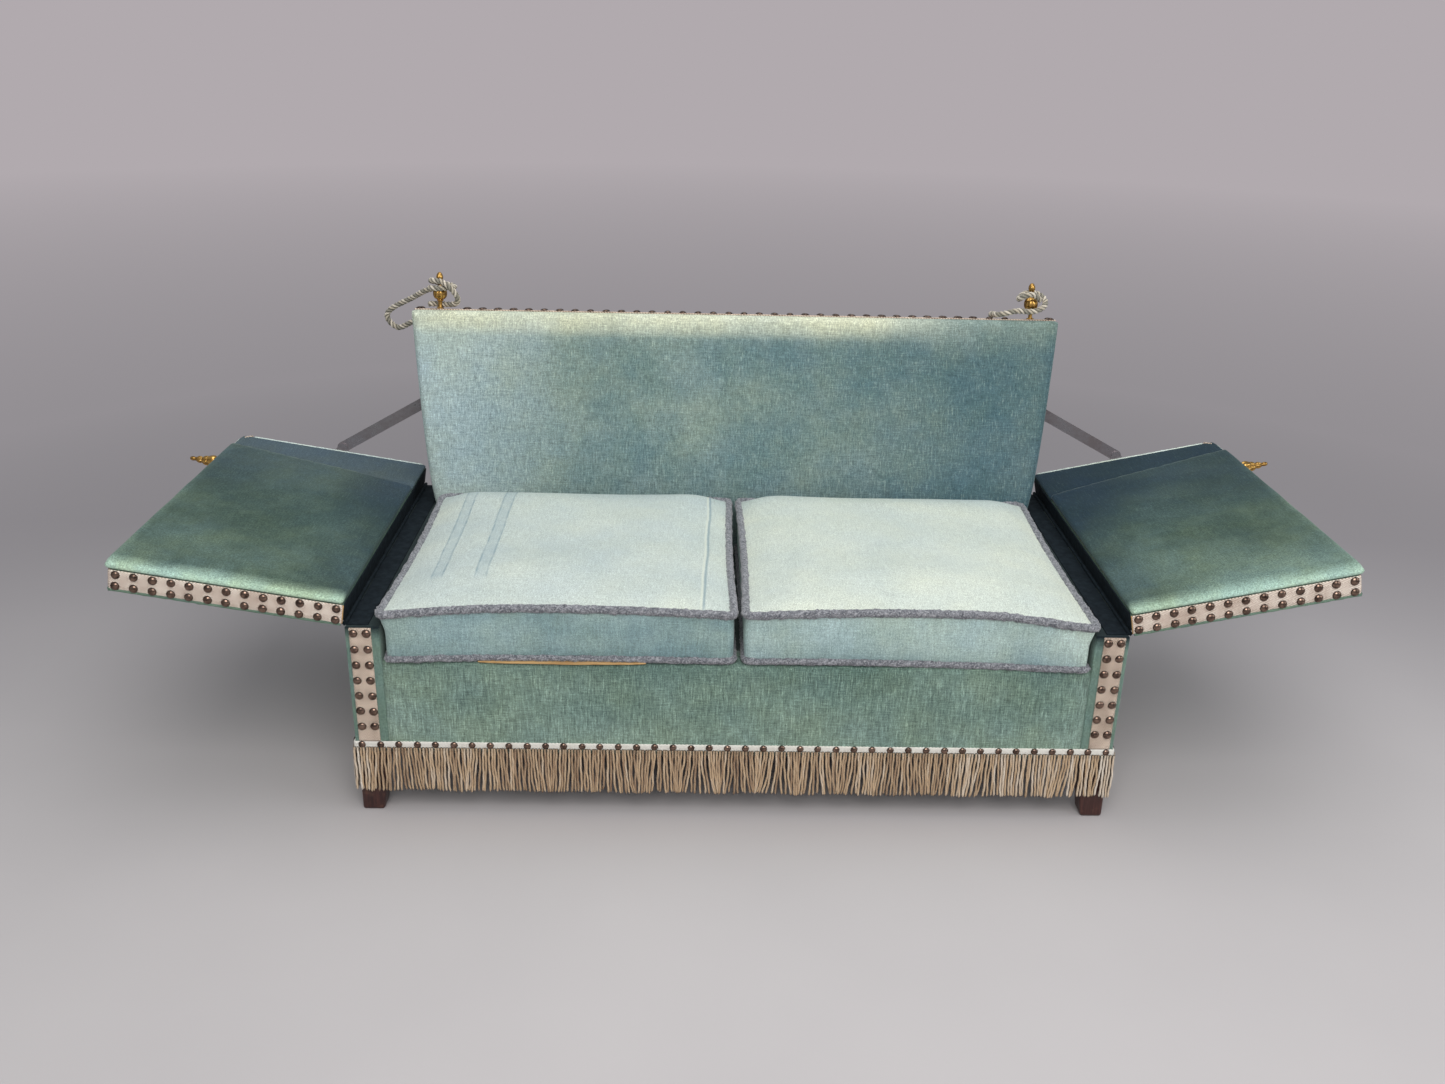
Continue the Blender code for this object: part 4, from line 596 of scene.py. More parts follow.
def wood(name, light, dark, wear, worn=0.3, order="xyz"):
    material, tree, shader = startMaterial(name, 0.45)
    grain = useGroup(tree, woodGrain, {
        "Place": objectPlace(tree, order), "Light": shade(*light), "Dark": shade(*dark),
        "Wear": shade(*wear), "Worn": worn,
    })
    setInputs(tree, shader, {"Base Color": grain["Color"], "Roughness": grain["Roughness"]})
    bump(tree, shader, grain["Height"], 0.2, 0.0005)
    return material


beech = (206, 172, 128), (168, 128, 86), (190, 160, 120)
darkWood = wood("darkWood", (78, 44, 38), (44, 22, 20), (120, 84, 66), 0.25)
beechLong = wood("beechLong", *beech, order="xzy")
beechAcross = wood("beechAcross", *beech, order="zyx")
beechUp = wood("beechUp", *beech)


def plainCloth(name, light, dark, thread):
    material, tree, shader = startMaterial(name, 0.9)
    place = objectPlace(tree)
    parts = put(tree, "SeparateXYZ", {0: place}).outputs
    weave = times(tree, *[waves(tree, parts[axis], math.pi / thread) for axis in (0, 1)])
    patches = ranged(tree, clouds(tree, place, 11.0, 3.0), 0.3, 0.7, -0.2, 0.2)
    share = plus(tree, minus(tree, 0.9, times(tree, weave, 0.9)), patches, clamp=True)
    tree.links.new(mixed(tree, share, shade(*light), shade(*dark)), shader.inputs["Base Color"])
    bump(tree, shader, weave, 0.4, 0.0008)
    return material


# the deck is given a dark cloth so the gaps between the cushions read dark: painted shade
deckCloth = plainCloth("deckCloth", (84, 94, 90), (48, 58, 58), 0.0022)
linen = plainCloth("linen", (214, 178, 124), (158, 118, 72), 0.0022)
blackCambric = plainCloth("blackCambric", (64, 62, 62), (28, 27, 28), 0.0016)
jute = plainCloth("jute", (188, 150, 100), (120, 88, 54), 0.0034)

yarnTones = {  # three tones of yarn, the painted shade in the grooves between strands (random dark specks on the piping), and the flecks
    "cord": ((216, 206, 188), (190, 180, 160), (138, 134, 120), (24, 22, 20), (232, 224, 208)),
    "fringe": ((140, 104, 72), (210, 178, 140), (244, 232, 216), (46, 31, 23), (246, 234, 214)),
    "piping": ((80, 83, 90), (106, 108, 114), (146, 147, 152), (50, 51, 58), (196, 196, 200)),
}


def yarn(kind, fleck, scale, bumpStrength=0.5, sheen=0.25):
    material, tree, shader = startMaterial(kind + "Yarn", 0.9)
    first, second, third, shaded, bright = [shade(*tone) for tone in yarnTones[kind]]
    tone, groove = mark(tree, "tone"), mark(tree, "groove")
    colour = mixed(tree, ranged(tree, tone, 0.0, 0.5), first, second)
    colour = mixed(tree, ranged(tree, tone, 0.5, 1.0), colour, third)
    colour = mixed(tree, times(tree, groove, 0.85, clamp=True), colour, shaded)
    flecks = clouds(tree, objectPlace(tree), scale, 2.0, 0.7)
    colour = mixed(tree, times(tree, ranged(tree, flecks, 0.45, 0.75), fleck), colour, bright)
    setInputs(tree, shader, {"Base Color": colour, "Sheen Weight": sheen, "Sheen Roughness": 0.5})
    bump(tree, shader, flecks, bumpStrength, 0.001)
    return material


cordYarn = yarn("cord", 0.25, 700.0)
fringeYarn = yarn("fringe", 0.4, 800.0, sheen=0.03)
pipingYarn = yarn("piping", 0.75, 260.0, 0.9)


def dress(obj, material, body, slot, *nodes):
    obj.data.materials.append(material)
    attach(obj, body)
    if nodes:
        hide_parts(*nodes)


print("materials made")


# Tie cords at the back's corners. The route points are the solids' own, from each finial's foot.

tieCords = {
    "radius": 0.0075,
    "swell": 1.04,  # the strands stand this much over the cord's radius
    "strandCentre": 0.46,
    "strandRadius": 0.54,
    "lay": 0.034,
    "step": 0.0022,
    "sides": 24,
    "foot": (0.779, 0.85196, 0.98208),
    "left": (
        (-0.0530, 0.0608, -0.0320), (-0.0760, 0.0620, -0.0450), (-0.0990, 0.0650, -0.0555),
        (-0.1130, 0.0700, -0.0635), (-0.1310, 0.0740, -0.0695), (-0.1500, 0.0760, -0.0585),
        (-0.1590, 0.0760, -0.0415), (-0.1540, 0.0750, -0.0265), (-0.1350, 0.0710, -0.0115),
        (-0.1110, 0.0645, 0.0015), (-0.0840, 0.0520, 0.0160), (-0.0590, 0.0360, 0.0315),
        (-0.0380, 0.0215, 0.0435), (-0.0260, 0.0155, 0.0479), (-0.0245, 0.0022, 0.0531),
        (-0.0155, -0.0095, 0.0559), (0.0000, -0.0135, 0.0561), (0.0130, -0.0100, 0.0559),
        (0.0240, -0.0004, 0.0551), (0.0330, 0.0126, 0.0541), (0.0350, 0.0257, 0.0531),
        (0.0260, 0.0370, 0.0539), (0.0100, 0.0397, 0.0569), (-0.0070, 0.0364, 0.0612),
        (-0.0180, 0.0271, 0.0655), (-0.0220, 0.0137, 0.0702), (-0.0180, 0.0020, 0.0730),
        (-0.0080, -0.0049, 0.0738), (0.0050, -0.0096, 0.0732), (0.0160, -0.0148, 0.0701),
        (0.0250, -0.0188, 0.0653), (0.0330, -0.0183, 0.0576), (0.0410, -0.0143, 0.0466),
        (0.0465, -0.0086, 0.0343), (0.0470, -0.0018, 0.0223), (0.0410, 0.0047, 0.0138),
        (0.0300, 0.0101, 0.0098), (0.0160, 0.0149, 0.0083), (0.0020, 0.0168, 0.0079),
        (-0.0120, 0.0155, 0.0087), (-0.0220, 0.0111, 0.0101), (-0.0310, 0.0062, 0.0110),
    ),
    "right": (
        (-0.0890, 0.0608, -0.0570), (-0.0895, 0.0610, -0.0370), (-0.0905, 0.0630, -0.0180),
        (-0.0918, 0.0570, -0.0030), (-0.0940, 0.0410, 0.0040), (-0.0930, 0.0200, 0.0075),
        (-0.0900, 0.0020, 0.0105), (-0.0810, -0.0100, 0.0145), (-0.0685, -0.0170, 0.0185),
        (-0.0545, -0.0190, 0.0230), (-0.0415, -0.0200, 0.0255), (-0.0275, -0.0200, 0.0255),
        (-0.0125, -0.0210, 0.0245), (0.0045, -0.0200, 0.0255), (0.0195, -0.0150, 0.0295),
        (0.0330, -0.0040, 0.0360), (0.0385, 0.0100, 0.0440), (0.0350, 0.0230, 0.0530),
        (0.0240, 0.0340, 0.0600), (0.0080, 0.0400, 0.0630), (-0.0100, 0.0370, 0.0610),
        (-0.0250, 0.0250, 0.0560), (-0.0330, 0.0100, 0.0520), (-0.0315, -0.0050, 0.0570),
        (-0.0235, -0.0130, 0.0640), (-0.0120, -0.0155, 0.0680), (0.0000, -0.0140, 0.0670),
        (0.0110, -0.0110, 0.0600), (0.0195, -0.0065, 0.0520),
    ),
}


def ropeTurn(index):  # how far the strands have turned at one step of the cord
    return 2 * math.pi * index * tieCords["step"] / tieCords["lay"]


def ropeRing(index, radius):  # the outline of three strands laid together
    centre, strand = tieCords["strandCentre"], tieCords["strandRadius"]
    ring = []
    for angle in circle(tieCords["sides"]):
        reach = 0.0
        for strandIndex in range(3):
            off = angle - ropeTurn(index) - 2 * math.pi * strandIndex / 3
            inside = strand**2 - (centre * math.sin(off)) ** 2
            if inside > 0:
                reach = max(reach, centre * math.cos(off) + math.sqrt(inside))
        ring.append((radius * reach * math.cos(angle), radius * reach * math.sin(angle)))
    return ring


def tieCord(side, sign):
    foot = Vector(tieCords["foot"])
    foot.x *= sign
    path = smoothPath([sofaPoint(*(foot + Vector(point))) for point in tieCords[side]], tieCords["step"])
    radius = tieCords["radius"] * tieCords["swell"]
    rope, faces = sweep(path, lambda index: ropeRing(index, radius))
    tone, groove = [], []
    for index in range(len(path)):
        for angle, (across, up) in zip(circle(tieCords["sides"]), ropeRing(index, 1.0)):
            off = (angle - ropeTurn(index)) / (2 * math.pi / 3)
            tone.append((0.0, 0.5, 1.0)[round(off) % 3])
            # painted shade in the valleys between the strands
            groove.append(1.15 * (1 - ease(0.68, 0.93, math.hypot(across, up))))
    obj = addMesh(f"{side}TieCord", rope, faces, marks={"tone": tone, "groove": groove})
    dress(obj, cordYarn, "sofa", "cord", f"{side}_tie_cord")


tieCord("left", -1)
tieCord("right", 1)
print("cords laid")


# Round-headed nails

nails = {
    "sides": 14,
    "profile": ((1.0, 0.0), (1.02, 0.10), (0.97, 0.28), (0.84, 0.55), (0.60, 0.80), (0.32, 0.95), (0.0, 1.0)),
    "tilt": 0.06,
    "wander": 0.0007,
    "smallest": 0.96,
    "largest": 1.03,
}


def nailHeads(name, places, matrix, body):  # each place is a foot, a direction, a radius and a height
    points, faces, groove = [], [], []
    for where, normal, radius, height in places:
        tilt = Vector((dice.uniform(-nails["tilt"], nails["tilt"]) for _ in range(3)))
        normal = (Vector(normal) + tilt).normalized()
        side = normal.orthogonal().normalized()
        other = normal.cross(side)
        wander = nails["wander"]
        centre = Vector(where) + side * dice.uniform(-wander, wander) + other * dice.uniform(-wander, wander)
        radius *= dice.uniform(nails["smallest"], nails["largest"])
        start = len(points)
        for reach, rise in nails["profile"]:
            for angle in circle(nails["sides"]):
                around = side * math.cos(angle) + other * math.sin(angle)
                points.append(centre + around * radius * reach + normal * height * rise)
                # the foot of each head is darkened: tarnish there, with a painted shadow ring
                groove.append(0.9 if rise < 0.3 else 0.0)
        faces += gridFaces(len(nails["profile"]), nails["sides"], closed=True, start=start)
        faces.append(tuple(start + k for k in range(nails["sides"])))
    dress(addMesh(name, points, faces, matrix, {"groove": groove}), nailBrass, body, "gilt_brass")


def nailRow(start, end, count, normal, radius, height):  # evenly spaced from start to end
    start, end = Vector(start), Vector(end)
    return [(start.lerp(end, i / count), normal, radius, height) for i in range(count + 1)]


# Woven strips

braid = {
    "thickness": 0.003,
    "width": 0.049,
    "gap": 0.0003,  # between a strip and the velvet under it
    "nailOut": 0.0030,  # how far out the nails' feet stand
    "scallop": 0.0007,
    "scallopPitch": 0.0084,
    "cell": 0.004,
    "profile": (
        (-0.5, 0.0), (-0.5, 0.6), (-0.47, 0.95), (-0.25, 1.0), (0.0, 0.94),
        (0.25, 1.0), (0.47, 0.95), (0.5, 0.6), (0.5, 0.0),
    ),
}


def wovenStrip(name, size, place, matrix, material, body, replaced=(), scallop=braid["scallop"]):
    length, width, thickness = size
    count = max(2, round(length / braid["cell"]))
    points = []
    for i in range(count + 1):
        along = length * i / count
        wave = scallop * math.sin(2 * math.pi * along / braid["scallopPitch"])
        for share, lift in braid["profile"]:
            push = wave * (1 if share > 0.3 else -1 if share < -0.3 else 0)
            points.append(place(along, share * (width - 2 * scallop) + push, braid["gap"] + thickness * lift))
    obj = addMesh(name, points, tubeFaces(count + 1, len(braid["profile"])), matrix)
    dress(obj, material, body, "braid", *replaced)


# Side walls

wall = {"thickness": 0.075, "round": 0.004, "puff": 0.0025, "cell": 0.03}


def sideWall(side, sign):
    inner, outer = halfWidth - wall["thickness"], halfWidth
    low, high = Vector((inner, 0.0, wallBottom)), Vector((outer, depth, wallTop))
    points, faces = softBlock(low, high, wall["round"], wall["cell"])
    shaped, pale, deep = [], [], []
    for point in points:
        rise = hump((point.z - wallBottom) / (wallTop - wallBottom)) ** 0.5
        if point.x > outer - 0.002:
            point.x += wall["puff"] * rise * hump(point.y / depth) ** 0.4
        # painted shade: the wall top, in the recess between cushion and arm, goes near-black (partly the dark
        # velvet flap there), and the inner side beside the cushion darkens
        dark = ease(wallTop - 0.012, wallTop - 0.002, point.z)
        face = 1 - ease(0.0, 0.02, point.y)
        pale.append(0.16 * (1 - dark) * (1 - face))
        deep.append(max(dark, 0.5 * (1 - ease(inner, inner + 0.01, point.x)) * (1 - face)))
        shaped.append(Vector((point.x * sign, point.y, point.z)))
    faces = flipped(faces) if sign < 0 else faces
    obj = addMesh(f"{side}Wall", shaped, faces, sofaMatrix, {"pale": pale, "deep": deep})
    dress(obj, wallVelvet, "sofa", "velvet", f"{side}_side_cover")


sideWall("right", 1)
sideWall("left", -1)


# Front apron, with a stuffed roll along its top

apron = {"top": 0.385, "roll": 0.016, "depth": 0.074, "thickness": 0.012, "overlap": 0.004, "cell": 0.022}


def apronOutline():  # from the lower rear edge, up the front, over the roll and back under the cushions
    roll, top, thickness = apron["roll"], apron["top"], apron["thickness"]
    outline = [(thickness, wallBottom), (0.0, wallBottom)]
    outline += [(0.0, lerp(wallBottom, top - roll, i / 9)) for i in range(1, 10)]
    turns = [math.pi / 2 * i / 6 for i in range(1, 7)]
    outline += [(roll - roll * math.cos(turn), top - roll + roll * math.sin(turn)) for turn in turns]
    outline += [(lerp(roll, apron["depth"], i / 4), top) for i in range(1, 5)]
    return outline + [(apron["depth"], top - 0.03), (0.016, top - 0.04), (thickness, top - 0.05)]


def frontApron():
    end = halfWidth - wall["thickness"] + apron["overlap"]
    top, outline = apron["top"], apronOutline()
    count = round(2 * end / apron["cell"])
    points, pale, deep = [], [], []
    for i in range(count + 1):
        x = lerp(-end, end, i / count)
        edge = min(end - abs(x), 0.02) / 0.02
        corner = 1 - ease(0.0, 0.09, end - abs(x))
        for y, z in outline:
            if y < 0.003:  # on the front face
                swell = 0.003 * hump((z - wallBottom) / (top - wallBottom)) ** 0.6 * edge
                tuck = 0.0016 * ripple(x * 3, z * 6) * edge * ease(wallBottom, wallBottom + 0.05, z)
                y += 0.004 * (1 - edge) - (swell - 0.0005) - tuck
            points.append((x, y, z))
            light = 0.10 + 0.05 * ripple(x * 2, z * 3) + 0.12 * corner
            pale.append(light + 0.12 * ease(0.30, 0.20, z) + 0.07 * ease(0.1, 0.6, -x))
            # painted shade along the top of the apron, under the cushions
            deep.append(0.10 + 0.30 * ease(top - 0.06, top, z))
    faces = tubeFaces(count + 1, len(outline))
    obj = addMesh("frontApron", points, faces, sofaMatrix, {"pale": pale, "deep": deep})
    dress(obj, apronVelvet, "sofa", "velvet", "front_apron")


frontApron()
print("walls and apron dressed")


# Braids down the fronts of the side walls

postBraid = {
    "inset": 0.009, "columns": 0.0285, "rows": 7, "pitch": 0.0385, "first": 0.012,
    "nailRadius": 0.0098, "nailHeight": 0.0062,
}
heading = {
    "top": 0.1845, "height": 0.018, "thickness": 0.003, "rear": depth - 0.004,
    "nailPitch": 0.0412, "nailRadius": 0.0082, "nailHeight": 0.0055,
}


def postBraids(side, sign):
    middle = halfWidth - postBraid["inset"] - braid["width"] / 2
    low, high = heading["top"] + 0.0004, wallTop - 0.002
    wovenStrip(
        f"{side}PostBraid", (high - low, braid["width"], braid["thickness"]),
        lambda along, across, out: (sign * (middle + across), -out, low + along),
        sofaMatrix, braidUp, "sofa", (f"{side}_post_braid",),
    )
    places = []
    for row in range(postBraid["rows"]):
        for column in (-1, 1):
            x = sign * (middle + column * postBraid["columns"] / 2)
            z = wallTop - 0.003 - postBraid["first"] - row * postBraid["pitch"]
            foot = x, -braid["nailOut"], z
            places.append((foot, (0, -1, 0), postBraid["nailRadius"], postBraid["nailHeight"]))
    nailHeads(f"{side}PostNails", places, sofaMatrix, "sofa")


postBraids("right", 1)
postBraids("left", -1)


# Heading braid with its nails, round the front and both sides


def headingAndNails():
    middle, rear = heading["top"] - heading["height"] / 2, heading["rear"]
    wovenStrip(
        "headingFront", (2 * halfWidth + 0.004, heading["height"], heading["thickness"]),
        lambda along, across, out: (along - halfWidth - 0.002, -out, middle + across),
        sofaMatrix, headingWeave, "sofa", ("fringe_heading",),
    )
    for side, sign in (("left", -1), ("right", 1)):
        wovenStrip(
            f"{side}Heading", (rear, heading["height"], heading["thickness"]),
            lambda along, across, out: (sign * (halfWidth + out), along, middle + across),
            sofaMatrix, headingSide, "sofa",
        )
    size = heading["nailRadius"], heading["nailHeight"]
    count = round((2 * halfWidth - 0.03) / heading["nailPitch"])
    x, z = halfWidth - 0.016, middle + 0.0012
    places = nailRow((-x, -0.0028, z), (x, -0.0028, z), count, (0, -1, 0), *size)
    count = round((rear - 0.03) / heading["nailPitch"])
    for sign in (-1, 1):
        x = sign * (halfWidth + 0.0028)
        places += nailRow((x, 0.016, z), (x, rear - 0.014, z), count, (sign, 0, 0), *size)
    nailHeads("headingNails", places, sofaMatrix, "sofa")


headingAndNails()


# Bullion fringe: single cords hung behind the heading

fringe = {
    "bottom": 0.053, "cordRadius": 0.0031, "pitch": 0.0067, "turns": 0.0128,
    "rings": 23, "sides": 8, "offset": 0.0052, "tuckedIn": 0.004,
}


def bullionFringe():
    points, faces, tone, groove = [], [], [], []
    top = heading["top"] - heading["height"] + fringe["tuckedIn"]
    rear, side = heading["rear"], halfWidth
    runs = (  # start, end and outward direction of each side
        (Vector((-side - 0.005, 0, 0)), Vector((side + 0.005, 0, 0)), Vector((0, -1, 0))),
        (Vector((-side, rear, 0)), Vector((-side, 0.004, 0)), Vector((-1, 0, 0))),
        (Vector((side, 0.004, 0)), Vector((side, rear, 0)), Vector((1, 0, 0))),
    )
    sides, rings = fringe["sides"], fringe["rings"]
    for run, (start, end, out) in enumerate(runs):
        length = (end - start).length
        count = round(length / fringe["pitch"])
        along = (end - start).normalized()
        for i in range(count):
            where = start + along * (length * (i + 0.5) / count + dice.uniform(-0.0012, 0.0012))
            walk = where.dot(along)
            lean = 0.009 * math.sin(walk * 19.0 + run) * math.sin(walk * 47.0 + 1.0)
            lean += dice.uniform(-0.0026, 0.0026)
            gather = 0.007 * math.sin(walk * 71.0 + 2.0 * run) * ease(-0.6, 0.8, math.sin(walk * 5.3 + 1.1))
            bottom = fringe["bottom"] + abs(dice.gauss(0.0, 0.0022))
            bottom += 0.0035 * (1 + math.sin(walk * 33.0 + run)) / 2
            spread = dice.uniform(-0.0022, 0.0022)
            sway = dice.uniform(0.0004, 0.0018)
            beat = dice.uniform(5.0, 9.0)
            shift = dice.uniform(0, 2 * math.pi)
            radius = fringe["cordRadius"] * dice.uniform(0.92, 1.05)
            phase = dice.uniform(0, 2 * math.pi)
            corner = min((where - start).length, (end - where).length)
            base = 0.10 + 0.50 * dice.random()
            base += 0.45 * (1 - ease(0.0, 0.05, corner)) + 0.12 * ripple(walk * 4, 0.3)
            base += 0.08 if run else 0.24 * ease(0.10, 0.80, walk) + 0.10 * ease(0.30, 0.85, -walk)
            first = len(points)
            for ring in range(rings):
                share = ring / (rings - 1)
                z = lerp(top, bottom, share)
                taper = math.sqrt(max(1 - max((share - 0.965) / 0.035, 0.0) ** 2, 0.02))
                turn = phase + 2 * math.pi * (top - z) / fringe["turns"]
                swing = sway * math.sin(share * beat + shift) * ease(0.0, 0.3, share)
                centre = where + along * ((lean + gather) * share**1.6 + swing)
                centre += out * (fringe["offset"] + spread * share + 0.0012 * hump(share)) + Vector((0, 0, z))
                cordTone = min(max(base + 0.10 * math.sin(share * 9 + phase), 0.0), 1.0)
                for angle in circle(sides):
                    lobe = abs(math.cos(angle - turn))
                    reach = radius * (0.70 + 0.34 * lobe) * taper
                    points.append(centre + along * reach * math.cos(angle) + out * reach * math.sin(angle))
                    tone.append(cordTone)
                    # the groove mark is painted shade: between one cord and the next, in the strands'
                    # grooves, and under the heading
                    shaded = 0.95 * (1 - ease(0.15, 1.0, math.sin(angle)))  # between one cord and the next
                    strands = (1 - lobe) ** 2 * 0.6
                    groove.append(min(strands + shaded + 0.3 * (1 - ease(0.0, 0.1, share)), 1.15))
            faces += tubeFaces(rings, sides, first)
    obj = addMesh("bullionFringe", points, faces, sofaMatrix, {"tone": tone, "groove": groove})
    dress(obj, fringeYarn, "sofa", "fringe", "bullion_fringe")


bullionFringe()
print("braids, nails and fringe hung")


# Back: a raked, stuffed front on a closed body

back = {
    "faceAtHinge": depth - 0.186, "hingeRise": 0.0065, "rake": math.radians(11.06), "top": 0.985,
    "flare": 0.067, "flareFoot": 0.010, "flarePower": 0.6, "bulge": 0.010, "round": 0.019,
    "notchRise": 0.0045, "foot": 0.3425, "rear": depth - 0.0044, "cell": 0.022, "corner": 0.014,
    "layers": 6, "padHeights": (0.36, 0.40, 0.44),
}
hingeZ = wallTop + back["hingeRise"]
notchZ = wallTop + back["notchRise"]  # the back grows wider above this height
wallInner = halfWidth - wall["thickness"]


def backFace(height):
    return back["faceAtHinge"] + (height - hingeZ) * math.tan(back["rake"])


def backHalf(height):
    if height < notchZ:
        return wallInner - 0.0015
    share = (height - notchZ) / (back["top"] - notchZ)
    return wallInner + back["flareFoot"] + (back["flare"] - back["flareFoot"]) * share ** back["flarePower"]


def backTopAt(y):
    return back["top"] - (y - backFace(back["top"])) * math.tan(back["rake"])


def roundedCorner(across, down, radius):  # distances from side and top, pulled onto a rounded corner
    dx, dy = radius - across, radius - down
    if dx <= 0 or dy <= 0:
        return across, down
    share = max(dx, dy) / math.hypot(dx, dy)
    return radius - dx * share, radius - dy * share


def backFront(share, height):
    half, top, curve = backHalf(height), back["top"], back["round"]
    x = lerp(-half, half, share)
    edge = min(half - abs(x), top - height, curve)
    across, down = roundedCorner(half - abs(x), top - height, back["corner"])
    x, height = math.copysign(half - across, x), top - down
    inset = curve - math.sqrt(max(curve**2 - (curve - edge) ** 2, 0.0))
    rise = (height - back["foot"]) / (top - back["foot"])
    bulge = back["bulge"] * hump(share) ** 0.5 * hump(rise) ** 0.7
    soft = 0.0022 * ripple(x * 1.6, height * 2.2) * hump(share) ** 0.5
    pucker = 0.0012 * math.sin(x * 150 + 3 * math.sin(x * 17))
    pucker *= (1 - ease(0.0, 0.035, top - height)) * ease(0.0, 0.012, top - height)
    return Vector((x, backFace(height) + inset - bulge - soft - pucker, height))


def backTones(points):  # cream worn into the top, bluer to the left, darker to the right and below
    pale, deep, cool = [], [], []
    for x, y, z in points:
        drop = back["top"] - z + 0.2 * max(y - backFace(min(z, back["top"])) - 0.02, 0.0)
        band = 1 - ease(0.004, 0.085 + 0.04 * ripple(x * 1.3, 0.2), drop)
        # lighter and bluer to the left, darker to the right and on the right edge: the velvet's own tones,
        # with painted light from the left and painted shade on the right
        left = 1 - ease(-0.88, -0.36, x + 0.06 * ripple(z * 2, 0.4))
        edge = 1 - ease(0.0, 0.035, backHalf(max(z, notchZ)) - abs(x))
        right = ease(-0.25, 0.75, x)
        cream = (1 - ease(0.018, 0.070 + 0.02 * ripple(x * 2.1, 0.9), drop)) * (1 - ease(0.20, 0.66, x))
        worn = 0.36 * band * (1 - 0.75 * ease(0.25, 0.80, x)) + 0.80 * cream
        pale.append(min(0.10 + worn + 0.18 * left + 0.08 * edge * (1 - right), 1.0))
        blue = 0.62 * left * (1 - 0.8 * cream) + 0.10 * (1 - right) * (1 - band)
        cool.append(min(max(blue, 0.0), 1.0))
        low = 1 - ease(0.42, 0.72, z)
        dark = 0.55 * right * (1 - 0.8 * band) + 0.30 * low * (1 - left) + 0.30 * edge * right
        deep.append(min(max(dark, 0.0), 1.0))
    return {"pale": pale, "deep": deep, "cool": cool}


def backPad():
    width = 2 * backHalf(back["top"])
    shares = [place / width for place in stops(width, back["round"], back["cell"], 6)]
    heights = [back["foot"], *back["padHeights"], notchZ - 0.002]
    heights += [notchZ + place for place in stops(back["top"] - notchZ, back["round"], back["cell"], 6)]
    rows, columns = len(heights), len(shares)
    points = []
    for row, height in enumerate(heights):
        for share in shares:
            point = backFront(share, height)
            if row == rows - 1:
                point.z += backTopAt(point.y) - back["top"]
            points.append(point)
    faces = gridFaces(rows, columns)
    rim = rimOf(rows, columns)
    previous = rim
    for layer in range(1, back["layers"] + 1):  # from the front's rim straight to the rear
        share = layer / back["layers"]
        ring = []
        for index in rim:
            x, frontPlace, z = points[index]
            y = lerp(frontPlace, back["rear"], share)
            atSide = abs(x) > backHalf(z) - 0.004 and z > notchZ + 0.01
            bow = 0.0022 * hump(share) if atSide else 0.0
            if z > notchZ:
                z = notchZ + (z - notchZ) * (backTopAt(y) - notchZ) / (backTopAt(frontPlace) - notchZ)
            ring.append(len(points))
            points.append(Vector((x + math.copysign(bow, x), y, z)))
        for k in range(len(rim)):
            after = (k + 1) % len(rim)
            faces.append((previous[after], previous[k], ring[k], ring[after]))
        previous = ring
    faces.append(tuple(previous))
    obj = addMesh("backPad", points, flipped(faces), sofaMatrix, backTones(points))
    dress(obj, backVelvet, "sofa", "velvet", "back_pad")


backPad()

backTopMatrix = sofaMatrix @ Matrix.Translation((0, backFace(back["top"]), back["top"]))
backTopMatrix = backTopMatrix @ Matrix.Rotation(-back["rake"], 4, "X")
topBraid = {
    "start": 0.0220, "end": 0.007, "nailPitch": 0.0408, "rows": 0.0285,
    "nailRadius": 0.0092, "nailHeight": 0.0056, "nailMargin": 0.012,
    "clear": 0.03,  # no nails this near a finial
    "bare": (0.66, 0.72),  # nor in the rear row where the right cord comes over
}
finialX = tieCords["foot"][0]


def backTop():
    half = backHalf(back["top"]) - topBraid["end"]
    middle = topBraid["start"] + braid["width"] / 2
    wovenStrip(
        "backTopBraid", (2 * half, braid["width"], braid["thickness"]),
        lambda along, across, out: (along - half, middle + across, out),
        backTopMatrix, braidFlat, "sofa", ("back_top_braid",),
    )
    count = round((2 * half - 0.02) / topBraid["nailPitch"])
    places = []
    for i in range(count + 1):
        x = lerp(-half + topBraid["nailMargin"], half - topBraid["nailMargin"], i / count)
        for row in (-1, 1):
            bare = row > 0 and topBraid["bare"][0] < x < topBraid["bare"][1]
            if bare or abs(abs(x) - finialX) < topBraid["clear"]:
                continue
            foot = x, middle + row * topBraid["rows"] / 2, braid["nailOut"]
            places.append((foot, (0, 0, 1), topBraid["nailRadius"], topBraid["nailHeight"]))
    nailHeads("backTopNails", places, backTopMatrix, "sofa")


backTop()

rear = {
    "columns": 44, "inner": 0.0040, "outer": 0.0022, "puff": 0.0022,
    "heights": (0.20, 0.25, 0.30, 0.35, 0.40, 0.44),
    "gimpWidth": 0.014, "gimpThickness": 0.0016,
    "nailPitch": 0.041, "nailRadius": 0.0062, "nailHeight": 0.0042,
}
rearTop = backTopAt(depth) - 0.0005


